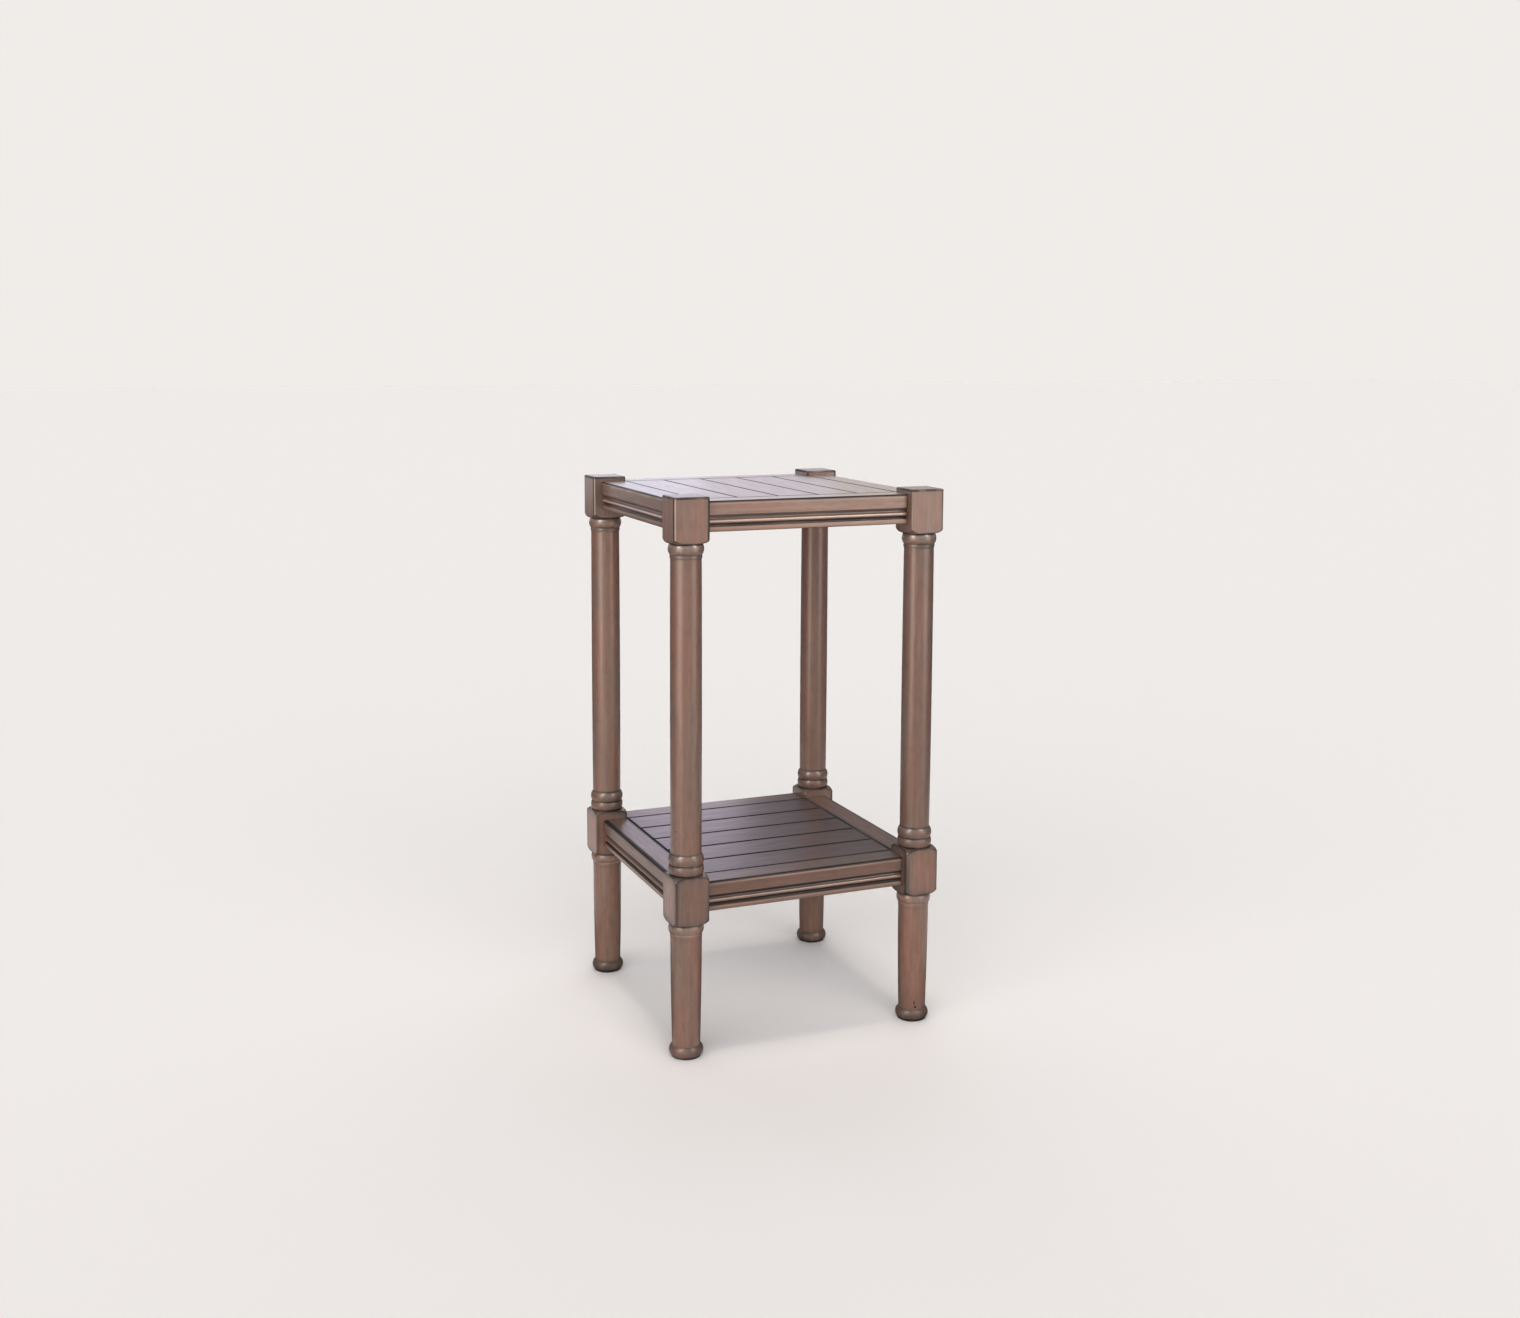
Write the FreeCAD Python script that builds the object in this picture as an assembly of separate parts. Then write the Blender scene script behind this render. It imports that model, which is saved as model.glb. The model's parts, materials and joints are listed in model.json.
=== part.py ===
import FreeCAD
import Part
import math
import os

# Accent table. Four one-piece turned posts stand at the corners of a square.
# Each post keeps two square blocks: one at its top and one where the shelf joins.
# A framed top and a framed shelf are carried between the blocks.
# Each of the two is a field of planks inside four border boards, over four reeded rails.
# The rails are tenoned into the blocks, and battens and corner blocks brace them below.
# Millimetres. +Z is up, the front is -Y, and the origin is on the floor under the centre.

# Overall sizes
HEIGHT = 762.0
OUTER_WIDTH = 394.0
POST_SQUARE = 49.0
TOP_SURFACE_DROP = 7.0
SHELF_SURFACE_HEIGHT = 242.0

# Build-up of the top and of the shelf
BOARD_THICKNESS = 19.5
RAIL_HEIGHT = 21.5
RAIL_THICKNESS = 20.0
EDGE_SETBACK = 12.0
BOARD_EDGE_EASE = 2.0
BOARD_UNDER_EASE = 0.8
PLANK_COUNT = 5
PLANK_SIDE_CHAMFER = 1.6
PLANK_END_CHAMFER = 1.3
BORDER_SIDE_CHAMFER = 0.6

# Tongues of the planks, and the grooves they enter
TONGUE_THICKNESS = 6.0
TONGUE_LENGTH = 5.0
GROOVE_SPARE_DEPTH = 0.4

# Reeded face of a rail, from its lower edge up
REED_BAND_HEIGHT = 6.5
REED_LOWER_QUIRK = 4.5
REED_BEAD_HEIGHT = 5.0
REED_BEAD_RECESS = 0.3
REED_QUIRK_DEPTH = 4.5
RAIL_LOWER_EASE = 1.6

# Tenons of the rails
TENON_THICKNESS = 8.0
TENON_HEIGHT = 14.0
TENON_LENGTH = 20.0
MORTISE_SPARE_DEPTH = 1.0

# Square blocks of a post
BLOCK_DROP = 13.5
LOWER_BLOCK_RISE = 11.5
POST_ARRIS = 2.0
SHOULDER_HEIGHT = 7.5
SHOULDER_DEPTH = 1.6
CREVICE_HEIGHT = 1.2
BLANK_OVERRUN = 2.0

# Depth that each turned part is cut below the faces of the square
BEAD_DEPTH = 0.5
VALLEY_DEPTH = 2.1
CREVICE_DEPTH = 3.0
NECK_DEPTH = 2.9
COLUMN_END_DEPTH = 3.7
COLUMN_MIDDLE_DEPTH = 3.3
LEG_TOP_DEPTH = 3.2
LEG_MIDDLE_DEPTH = 3.9
ANKLE_DEPTH = 5.4
FOOT_BULGE_DEPTH = 1.1
FOOT_BASE_DEPTH = 3.2

# Heights of the turned parts
COLLAR_HEIGHT = 14.4
NECK_HEIGHT = 5.0
LOWER_BEAD_HEIGHT = 13.0
UPPER_BEAD_HEIGHT = 14.8
FOOT_HEIGHT = 14.0

# Glide under each foot
GLIDE_THICKNESS = 2.5
GLIDE_INSET = 0.9
GLIDE_EASE = 0.7
GLIDE_PIN_RADIUS = 1.6
GLIDE_PIN_LENGTH = 14.0

# Battens under the planks
BATTEN_WIDTH = 30.0
BATTEN_THICKNESS = 14.0
BATTEN_EASE = 1.5
BATTEN_TO_BLOCK_GAP = 18.0

# Corner blocks behind the posts
CORNER_BLOCK_LEG = 52.0
CORNER_BLOCK_HEIGHT = 18.0

# Screws and dowels
SCREW_RADIUS = 2.0
SCREW_HEAD_RADIUS = 3.9
SCREW_HEAD_HEIGHT = 2.6
BATTEN_SCREW_LENGTH = 26.0
CORNER_SCREW_LENGTH = 32.0
EDGE_SCREW_INSET = 7.5
DOWEL_RADIUS = 3.0
DOWEL_LENGTH = 20.0
DOWEL_EASE = 0.6
DOWEL_SPARE_DEPTH = 0.5
DOWEL_END_INSET = 58.0

# Gap on each side between a peg and its hole
FIT_CLEARANCE = 0.1

# Places worked out from the sizes above
HALF_WIDTH = OUTER_WIDTH / 2
HALF_SQUARE = POST_SQUARE / 2
POST_CENTRE = HALF_WIDTH - HALF_SQUARE
BLOCK_INNER = HALF_WIDTH - POST_SQUARE
EDGE_FACE = HALF_WIDTH - EDGE_SETBACK
RAIL_INNER = EDGE_FACE - RAIL_THICKNESS
RAIL_CENTRE = EDGE_FACE - RAIL_THICKNESS / 2
SPAN = 2 * BLOCK_INNER
PLANK_WIDTH = SPAN / PLANK_COUNT
BORDER_WIDTH = EDGE_FACE - BLOCK_INNER
TOP_SURFACE_HEIGHT = HEIGHT - TOP_SURFACE_DROP
EDGE_DEPTH = BOARD_THICKNESS + RAIL_HEIGHT
TOP_BLOCK_BOTTOM = TOP_SURFACE_HEIGHT - EDGE_DEPTH - BLOCK_DROP
LOWER_BLOCK_BOTTOM = SHELF_SURFACE_HEIGHT - EDGE_DEPTH - BLOCK_DROP
LOWER_BLOCK_TOP = SHELF_SURFACE_HEIGHT + LOWER_BLOCK_RISE
GROOVE_DEPTH = TONGUE_LENGTH + GROOVE_SPARE_DEPTH
REED_SPRING_DEPTH = REED_BEAD_RECESS + REED_BEAD_HEIGHT / 2
CORNER_BLOCK_END = RAIL_INNER - CORNER_BLOCK_LEG
BATTEN_OFFSET = CORNER_BLOCK_END - BATTEN_TO_BLOCK_GAP - BATTEN_WIDTH / 2
DOWEL_OFFSET = BLOCK_INNER - DOWEL_END_INSET

# Share of an arc's width and height at its point of 45 degrees
ARC_MIDDLE_SHARE = math.sqrt(0.5)

# Share of the foot's height at its widest ring
FOOT_BULGE_SHARE = 0.42

UP = FreeCAD.Vector(0, 0, 1)
CENTRE = FreeCAD.Vector(0, 0, 0)
QUARTER_TURN = 90

# The four sides, with the turn that brings the front there
SIDES = {"front": 0, "right": QUARTER_TURN, "back": 2 * QUARTER_TURN, "left": 3 * QUARTER_TURN}

# The four corners, with the turn that brings the front left one there
CORNERS = {
    "front_left": 0,
    "front_right": QUARTER_TURN,
    "back_right": 2 * QUARTER_TURN,
    "back_left": 3 * QUARTER_TURN,
}


class Outline:
    """A flat closed outline of lines and arcs in the plane y = 0."""

    def __init__(self, x, z):
        self.first = FreeCAD.Vector(x, 0, z)
        self.last = self.first
        self.edges = []

    def line(self, x, z):
        end = FreeCAD.Vector(x, 0, z)
        self.edges.append(Part.makeLine(self.last, end))
        self.last = end

    def arc(self, through_x, through_z, x, z):
        through = FreeCAD.Vector(through_x, 0, through_z)
        end = FreeCAD.Vector(x, 0, z)
        self.edges.append(Part.Arc(self.last, through, end).toShape())
        self.last = end

    def face(self):
        self.edges.append(Part.makeLine(self.last, self.first))
        return Part.Face(Part.Wire(self.edges))


def box(low, high):
    """A box between two opposite corners."""
    size = high - low
    return Part.makeBox(size.x, size.y, size.z, low)


def turned(shape, angle):
    """A copy of the shape, turned about the table's upright centre line."""
    copy = shape.copy()
    copy.rotate(CENTRE, UP, angle)
    return copy


def moved(shape, x, y, z):
    """A copy of the shape, moved without turning."""
    copy = shape.copy()
    copy.translate(FreeCAD.Vector(x, y, z))
    return copy


def joined(shapes):
    """One solid from shapes that meet."""
    return shapes[0].fuse(shapes[1:]).removeSplitter()


def cut_radius(depth):
    """The radius of a turned part that lies this deep below the faces of the square."""
    return HALF_SQUARE - depth


def bead(outline, height, end_depth):
    """A half-round bead from the outline's last point up, ending at its own depth."""
    middle = outline.last.z + height / 2
    outline.arc(cut_radius(BEAD_DEPTH), middle, cut_radius(end_depth), outline.last.z + height)


def shoulder_up(outline, blank_radius):
    """The rounded shoulder where a turned part widens upwards into a block."""
    neck = cut_radius(SHOULDER_DEPTH)
    corner = HALF_SQUARE * math.sqrt(2)
    base = outline.last.z
    outline.line(neck, base)
    outline.arc(
        neck + (corner - neck) * ARC_MIDDLE_SHARE,
        base + SHOULDER_HEIGHT * (1 - ARC_MIDDLE_SHARE),
        corner,
        base + SHOULDER_HEIGHT,
    )
    outline.line(blank_radius, base + SHOULDER_HEIGHT)


def shoulder_down(outline, top, blank_radius):
    """The rounded shoulder where a block narrows upwards into a turned part."""
    neck = cut_radius(SHOULDER_DEPTH)
    corner = HALF_SQUARE * math.sqrt(2)
    outline.line(blank_radius, top - SHOULDER_HEIGHT)
    outline.line(corner, top - SHOULDER_HEIGHT)
    outline.arc(
        neck + (corner - neck) * ARC_MIDDLE_SHARE,
        top - SHOULDER_HEIGHT * (1 - ARC_MIDDLE_SHARE),
        neck,
        top,
    )


def collar(outline, block_bottom):
    """The neck ring and the bead under a block, up to the block's shoulder."""
    bead_top = block_bottom - CREVICE_HEIGHT
    bead_bottom = bead_top - COLLAR_HEIGHT
    outline.line(cut_radius(NECK_DEPTH), bead_bottom - NECK_HEIGHT)
    outline.line(cut_radius(NECK_DEPTH), bead_bottom)
    bead(outline, COLLAR_HEIGHT, VALLEY_DEPTH)
    outline.line(cut_radius(CREVICE_DEPTH), bead_top)
    outline.line(cut_radius(CREVICE_DEPTH), block_bottom)


def post_turning():
    """The post as the lathe leaves it, with its blocks still wider than the square."""
    blank_radius = HALF_SQUARE * math.sqrt(2) + BLANK_OVERRUN
    foot_bottom = GLIDE_THICKNESS
    foot_top = foot_bottom + FOOT_HEIGHT
    leg_top = LOWER_BLOCK_BOTTOM - CREVICE_HEIGHT - COLLAR_HEIGHT - NECK_HEIGHT
    column_top = TOP_BLOCK_BOTTOM - CREVICE_HEIGHT - COLLAR_HEIGHT - NECK_HEIGHT
    outline = Outline(0, foot_bottom)
    outline.line(cut_radius(FOOT_BASE_DEPTH), foot_bottom)
    outline.arc(
        cut_radius(FOOT_BULGE_DEPTH),
        foot_bottom + FOOT_HEIGHT * FOOT_BULGE_SHARE,
        cut_radius(ANKLE_DEPTH),
        foot_top,
    )
    outline.line(cut_radius(LEG_MIDDLE_DEPTH), (foot_top + leg_top) / 2)
    outline.line(cut_radius(LEG_TOP_DEPTH), leg_top)
    collar(outline, LOWER_BLOCK_BOTTOM)
    shoulder_up(outline, blank_radius)
    shoulder_down(outline, LOWER_BLOCK_TOP, blank_radius)
    outline.line(cut_radius(CREVICE_DEPTH), LOWER_BLOCK_TOP)
    outline.line(cut_radius(CREVICE_DEPTH), LOWER_BLOCK_TOP + CREVICE_HEIGHT)
    outline.line(cut_radius(VALLEY_DEPTH), LOWER_BLOCK_TOP + CREVICE_HEIGHT)
    bead(outline, LOWER_BEAD_HEIGHT, VALLEY_DEPTH)
    bead(outline, UPPER_BEAD_HEIGHT, COLUMN_END_DEPTH)
    outline.line(cut_radius(COLUMN_MIDDLE_DEPTH), (outline.last.z + column_top) / 2)
    outline.line(cut_radius(COLUMN_END_DEPTH), column_top)
    collar(outline, TOP_BLOCK_BOTTOM)
    shoulder_up(outline, blank_radius)
    outline.line(blank_radius, HEIGHT)
    outline.line(0, HEIGHT)
    return outline.face().revolve(CENTRE, UP, 360)


def post_blank():
    """The square blank of a post, with its long arrises and its top edges eased."""
    low = FreeCAD.Vector(-HALF_SQUARE, -HALF_SQUARE, GLIDE_THICKNESS)
    high = FreeCAD.Vector(HALF_SQUARE, HALF_SQUARE, HEIGHT)
    blank = box(low, high)
    edges = [edge for edge in blank.Edges if edge.BoundBox.ZMax > high.z - POST_ARRIS]
    return blank.makeFillet(POST_ARRIS, edges)


def mortise(rail_bottom):
    """The hole in the front left post for the tenon of the front rail above this height."""
    half = TENON_THICKNESS / 2 + FIT_CLEARANCE
    middle = rail_bottom + RAIL_HEIGHT / 2
    half_height = TENON_HEIGHT / 2 + FIT_CLEARANCE
    depth = TENON_LENGTH + MORTISE_SPARE_DEPTH
    low = FreeCAD.Vector(-BLOCK_INNER - depth, -RAIL_CENTRE - half, middle - half_height)
    high = FreeCAD.Vector(-BLOCK_INNER, -RAIL_CENTRE + half, middle + half_height)
    return box(low, high)


def across_corner(shape):
    """The same shape on the other side of the front left corner's diagonal."""
    normal = FreeCAD.Vector(1, -1, 0)
    return shape.mirror(CENTRE, normal)


def post():
    """The front left post with its mortises and its holes for the glide and the screws."""
    turning = post_blank().common(post_turning())
    body = moved(turning, -POST_CENTRE, -POST_CENTRE, 0)
    cuts = []
    for surface in (SHELF_SURFACE_HEIGHT, TOP_SURFACE_HEIGHT):
        hole = mortise(surface - EDGE_DEPTH)
        cuts.append(hole)
        cuts.append(across_corner(hole))
        cuts.append(corner_screw(surface, FIT_CLEARANCE))
    cuts.append(glide_pin(FIT_CLEARANCE))
    return body.cut(cuts)


def glide_pin(clearance):
    """The pin of the front left glide, or its hole when a clearance is given."""
    radius = GLIDE_PIN_RADIUS + clearance
    base = FreeCAD.Vector(-POST_CENTRE, -POST_CENTRE, GLIDE_THICKNESS)
    return Part.makeCylinder(radius, GLIDE_PIN_LENGTH + clearance, base, UP)


def glide():
    """The front left glide: a round pad with a chamfered rim and a pin up into the foot."""
    radius = cut_radius(FOOT_BASE_DEPTH) - GLIDE_INSET
    base = FreeCAD.Vector(-POST_CENTRE, -POST_CENTRE, 0)
    pad = Part.makeCylinder(radius, GLIDE_THICKNESS, base, UP)
    rim = [edge for edge in pad.Edges if edge.BoundBox.ZMax < GLIDE_EASE]
    return joined([pad.makeChamfer(GLIDE_EASE, rim), glide_pin(0)])


def rail_outline():
    """The section of a rail: x is the depth behind its outer face, z the height."""
    lower_bead = REED_BAND_HEIGHT + REED_LOWER_QUIRK
    upper_bead = lower_bead + REED_BEAD_HEIGHT
    outline = Outline(RAIL_LOWER_EASE, 0)
    outline.arc(
        RAIL_LOWER_EASE * (1 - ARC_MIDDLE_SHARE),
        RAIL_LOWER_EASE * (1 - ARC_MIDDLE_SHARE),
        0,
        RAIL_LOWER_EASE,
    )
    outline.line(0, REED_BAND_HEIGHT)
    outline.line(REED_SPRING_DEPTH, REED_BAND_HEIGHT)
    outline.arc(REED_QUIRK_DEPTH, (REED_BAND_HEIGHT + lower_bead) / 2, REED_SPRING_DEPTH, lower_bead)
    outline.arc(REED_BEAD_RECESS, (lower_bead + upper_bead) / 2, REED_SPRING_DEPTH, upper_bead)
    outline.arc(REED_QUIRK_DEPTH, (upper_bead + RAIL_HEIGHT) / 2, REED_SPRING_DEPTH, RAIL_HEIGHT)
    outline.line(RAIL_THICKNESS, RAIL_HEIGHT)
    outline.line(RAIL_THICKNESS, 0)
    return outline.face()


def along_front(section, bottom):
    """A section run between the two front posts, its outer face in the front edge's plane."""
    bar = section.extrude(FreeCAD.Vector(0, SPAN, 0))
    bar.rotate(CENTRE, UP, QUARTER_TURN)
    return moved(bar, BLOCK_INNER, -EDGE_FACE, bottom)


def rail(surface):
    """The front rail of the top or the shelf: reeded bar, two tenons and dowel holes."""
    bottom = surface - EDGE_DEPTH
    middle = bottom + RAIL_HEIGHT / 2
    reach = BLOCK_INNER + TENON_LENGTH
    half = TENON_THICKNESS / 2
    low = FreeCAD.Vector(-reach, -RAIL_CENTRE - half, middle - TENON_HEIGHT / 2)
    high = FreeCAD.Vector(reach, -RAIL_CENTRE + half, middle + TENON_HEIGHT / 2)
    bar = joined([along_front(rail_outline(), bottom), box(low, high)])
    return bar.cut(front_dowels(surface, FIT_CLEARANCE))


def border_outline(inner_chamfer):
    """The section of a border board: x is the depth behind its outer edge, z the height."""
    groove_half = TONGUE_THICKNESS / 2 + FIT_CLEARANCE
    groove_middle = BOARD_THICKNESS / 2
    groove_bottom = BORDER_WIDTH - GROOVE_DEPTH
    outline = Outline(BOARD_UNDER_EASE, 0)
    outline.line(0, BOARD_UNDER_EASE)
    outline.line(0, BOARD_THICKNESS - BOARD_EDGE_EASE)
    outline.arc(
        BOARD_EDGE_EASE * (1 - ARC_MIDDLE_SHARE),
        BOARD_THICKNESS - BOARD_EDGE_EASE * (1 - ARC_MIDDLE_SHARE),
        BOARD_EDGE_EASE,
        BOARD_THICKNESS,
    )
    outline.line(BORDER_WIDTH - inner_chamfer, BOARD_THICKNESS)
    outline.line(BORDER_WIDTH, BOARD_THICKNESS - inner_chamfer)
    outline.line(BORDER_WIDTH, groove_middle + groove_half)
    outline.line(groove_bottom, groove_middle + groove_half)
    outline.line(groove_bottom, groove_middle - groove_half)
    outline.line(BORDER_WIDTH, groove_middle - groove_half)
    outline.line(BORDER_WIDTH, 0)
    return outline.face()


def border(surface, inner_chamfer, screw_holes):
    """The front border board of the top or the shelf."""
    board = along_front(border_outline(inner_chamfer), surface - BOARD_THICKNESS)
    return board.cut(front_dowels(surface, FIT_CLEARANCE) + screw_holes)


def front_dowels(surface, clearance):
    """The two dowels that join the front border board to its rail, or their holes."""
    joint = surface - BOARD_THICKNESS
    length = DOWEL_LENGTH
    if clearance:
        length = DOWEL_LENGTH + 2 * DOWEL_SPARE_DEPTH
    middle = -(EDGE_FACE + RAIL_INNER - REED_SPRING_DEPTH) / 2
    dowels = []
    for side in (-1, 1):
        base = FreeCAD.Vector(side * DOWEL_OFFSET, middle, joint - length / 2)
        dowel = Part.makeCylinder(DOWEL_RADIUS + clearance, length, base, UP)
        if not clearance:
            rims = [edge for edge in dowel.Edges if edge.BoundBox.ZLength < DOWEL_EASE]
            dowel = dowel.makeChamfer(DOWEL_EASE, rims)
        dowels.append(dowel)
    return dowels


def chamfered(plank, distance, is_wanted):
    """The plank with a chamfer on the edges of its top face that are wanted."""
    top = plank.BoundBox.ZMax
    edges = [edge for edge in plank.Edges if edge.BoundBox.ZMin > top - distance and is_wanted(edge)]
    return plank.makeChamfer(distance, edges)


def plank(surface, index, screw_holes):
    """One plank along X, counted from the front, with its tongues and its groove."""
    front = -BLOCK_INNER + index * PLANK_WIDTH
    back = front + PLANK_WIDTH
    bottom = surface - BOARD_THICKNESS
    middle = surface - BOARD_THICKNESS / 2
    tongue_low = middle - TONGUE_THICKNESS / 2
    tongue_high = middle + TONGUE_THICKNESS / 2
    reach = BLOCK_INNER + TONGUE_LENGTH
    body = box(FreeCAD.Vector(-BLOCK_INNER, front, bottom), FreeCAD.Vector(BLOCK_INNER, back, surface))
    body = chamfered(body, PLANK_END_CHAMFER, lambda edge: edge.BoundBox.YLength > PLANK_WIDTH / 2)
    body = chamfered(body, PLANK_SIDE_CHAMFER, lambda edge: edge.BoundBox.XLength > SPAN / 2)
    tongue_front = front
    if index == 0:
        tongue_front = front - TONGUE_LENGTH
    side_tongues = box(
        FreeCAD.Vector(-BLOCK_INNER, tongue_front, tongue_low),
        FreeCAD.Vector(BLOCK_INNER, back + TONGUE_LENGTH, tongue_high),
    )
    end_tongues = box(
        FreeCAD.Vector(-reach, front, tongue_low),
        FreeCAD.Vector(reach, back, tongue_high),
    )
    body = joined([body, side_tongues, end_tongues])
    cuts = list(screw_holes)
    if index > 0:
        cuts.append(
            box(
                FreeCAD.Vector(-reach, front, tongue_low - FIT_CLEARANCE),
                FreeCAD.Vector(reach, front + GROOVE_DEPTH, tongue_high + FIT_CLEARANCE),
            )
        )
    return body.cut(cuts)


def screw(length, base, direction, clearance):
    """A countersunk screw, or its hole when a clearance is given."""
    head = Part.makeCone(
        SCREW_HEAD_RADIUS + clearance,
        SCREW_RADIUS + clearance,
        SCREW_HEAD_HEIGHT,
        base,
        direction,
    )
    shank = Part.makeCylinder(SCREW_RADIUS + clearance, length + clearance, base, direction)
    return joined([head, shank])


def corner_screw(surface, clearance):
    """The screw that draws the front left corner block against its post."""
    middle = (RAIL_INNER + CORNER_BLOCK_END) / 2
    height = surface - BOARD_THICKNESS - CORNER_BLOCK_HEIGHT / 2
    base = FreeCAD.Vector(-middle, -middle, height)
    return screw(CORNER_SCREW_LENGTH, base, FreeCAD.Vector(-1, -1, 0), clearance)


def corner_block(surface):
    """The front left corner block: a triangle behind the post, notched round its arris."""
    top = surface - BOARD_THICKNESS
    corners = [
        (RAIL_INNER, CORNER_BLOCK_END),
        (RAIL_INNER, BLOCK_INNER),
        (BLOCK_INNER, BLOCK_INNER),
        (BLOCK_INNER, RAIL_INNER),
        (CORNER_BLOCK_END, RAIL_INNER),
        (RAIL_INNER, CORNER_BLOCK_END),
    ]
    points = [FreeCAD.Vector(-x, -y, top - CORNER_BLOCK_HEIGHT) for x, y in corners]
    body = Part.Face(Part.makePolygon(points)).extrude(UP * CORNER_BLOCK_HEIGHT)
    return body.cut(corner_screw(surface, FIT_CLEARANCE))


def batten(surface, side, screw_holes):
    """One batten along Y under a field of planks that run along X."""
    top = surface - BOARD_THICKNESS
    middle = side * BATTEN_OFFSET
    low = FreeCAD.Vector(middle - BATTEN_WIDTH / 2, -RAIL_INNER, top - BATTEN_THICKNESS)
    high = FreeCAD.Vector(middle + BATTEN_WIDTH / 2, RAIL_INNER, top)
    bar = box(low, high)
    lower = [
        edge
        for edge in bar.Edges
        if edge.BoundBox.ZMax < low.z + BATTEN_EASE and edge.BoundBox.YLength > RAIL_INNER
    ]
    return bar.makeChamfer(BATTEN_EASE, lower).cut(screw_holes)


def screw_rows():
    """Where the screws stand along a batten: in each border board and each plank."""
    rows = [-RAIL_INNER + EDGE_SCREW_INSET]
    for index in range(PLANK_COUNT):
        rows.append(-BLOCK_INNER + (index + 0.5) * PLANK_WIDTH)
    rows.append(RAIL_INNER - EDGE_SCREW_INSET)
    return rows


def batten_screws(surface, row, clearance):
    """The two screws of one row, one up through each batten, or their holes."""
    bottom = surface - BOARD_THICKNESS - BATTEN_THICKNESS
    screws = []
    for side in (-1, 1):
        base = FreeCAD.Vector(side * BATTEN_OFFSET, row, bottom)
        screws.append(screw(BATTEN_SCREW_LENGTH, base, UP, clearance))
    return screws


def write(shape, node):
    """Writes one named piece."""
    shape.exportStep("parts/" + node + ".step")


def write_shelf(name, surface, angle, batten_sides):
    """The boards, rails and fixings of the top or the shelf; the angle turns its planks."""
    rows = screw_rows()
    holes = [batten_screws(surface, row, FIT_CLEARANCE) for row in rows]
    for index in range(PLANK_COUNT):
        piece = plank(surface, index, holes[index + 1])
        write(turned(piece, angle), name + "_plank_" + str(index + 1))
    for side, turn in SIDES.items():
        at_plank_side = (turn - angle) % (2 * QUARTER_TURN) == 0
        chamfer = PLANK_END_CHAMFER
        screw_holes = []
        if at_plank_side:
            chamfer = BORDER_SIDE_CHAMFER
            screw_holes = holes[0]
        write(turned(border(surface, chamfer, screw_holes), turn), name + "_border_" + side)
        write(turned(rail(surface), turn), name + "_rail_" + side)
    for side, batten_side in zip((-1, 1), batten_sides):
        all_holes = [hole for row in holes for hole in row]
        piece = batten(surface, side, all_holes)
        write(turned(piece, angle), name + "_batten_" + batten_side)
    for corner, turn in CORNERS.items():
        write(turned(corner_block(surface), turn), name + "_corner_block_" + corner)
    screws = [piece for row in rows for piece in batten_screws(surface, row, 0)]
    write(turned(Part.makeCompound(screws), angle), name + "_batten_screws")
    corner_screws = [turned(corner_screw(surface, 0), turn) for turn in CORNERS.values()]
    write(Part.makeCompound(corner_screws), name + "_corner_screws")
    dowels = [turned(dowel, turn) for turn in SIDES.values() for dowel in front_dowels(surface, 0)]
    write(Part.makeCompound(dowels), name + "_dowels")


def main():
    os.makedirs("parts", exist_ok=True)
    for corner, turn in CORNERS.items():
        write(turned(post(), turn), "leg_" + corner)
        write(turned(glide(), turn), "glide_" + corner)
    write_shelf("shelf", SHELF_SURFACE_HEIGHT, 0, ("left", "right"))
    write_shelf("top", TOP_SURFACE_HEIGHT, -QUARTER_TURN, ("back", "front"))


main()
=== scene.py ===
"""Accent table: the finished surfaces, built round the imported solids.

Four turned posts, a boarded top and a boarded shelf over reeded rails, in brown stained
hardwood with a dark glaze in its hollows and along its arrises, under satin lacquer.
Metres throughout. The floor is z = 0 and the front of the table faces -Y.
"""
import json
import logging
import math
import random
from collections.abc import Callable
from dataclasses import astuple, dataclass, field
from enum import Enum
from functools import partial

import bpy
import numpy as np
from mathutils import Matrix, Vector

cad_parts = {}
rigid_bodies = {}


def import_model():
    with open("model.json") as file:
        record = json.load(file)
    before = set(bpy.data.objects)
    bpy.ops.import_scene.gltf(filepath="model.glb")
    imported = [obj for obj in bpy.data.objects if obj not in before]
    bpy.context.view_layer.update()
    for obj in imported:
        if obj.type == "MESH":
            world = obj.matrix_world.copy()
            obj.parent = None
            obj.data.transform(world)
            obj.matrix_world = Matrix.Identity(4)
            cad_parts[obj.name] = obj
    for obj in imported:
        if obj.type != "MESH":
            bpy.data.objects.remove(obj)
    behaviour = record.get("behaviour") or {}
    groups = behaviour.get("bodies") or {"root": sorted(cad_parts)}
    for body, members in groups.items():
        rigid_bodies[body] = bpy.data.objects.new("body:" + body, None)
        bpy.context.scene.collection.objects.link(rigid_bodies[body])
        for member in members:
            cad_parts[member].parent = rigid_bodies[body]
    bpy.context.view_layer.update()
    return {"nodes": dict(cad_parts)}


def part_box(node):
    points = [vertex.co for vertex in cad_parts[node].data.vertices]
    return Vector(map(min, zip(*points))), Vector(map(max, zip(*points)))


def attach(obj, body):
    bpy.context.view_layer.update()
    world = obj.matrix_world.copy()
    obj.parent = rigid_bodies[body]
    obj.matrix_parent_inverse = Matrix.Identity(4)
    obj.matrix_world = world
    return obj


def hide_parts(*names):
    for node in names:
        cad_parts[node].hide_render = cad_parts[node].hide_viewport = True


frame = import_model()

LOG = logging.getLogger("accent_table")
MM = 0.001
METRE = 1.0
BODY = "root"

# Names of the values that a mesh carries for its finish. The rubbing is partly painted highlights, and the
# tone partly painted light and shade.
GRAIN, GLAZE, RUB, TONE, BUILD = "grain", "glaze", "rub", "tone", "build"

# Sockets of the colour form of the Mix node
MIX_FACTOR, MIX_A, MIX_B, MIX_COLOUR = 0, 6, 7, 2

QUARTER = math.pi / 2
SMOOTH_BELOW = math.radians(38)

# One number, or one for each line up a post
Amount = float | np.ndarray


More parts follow.
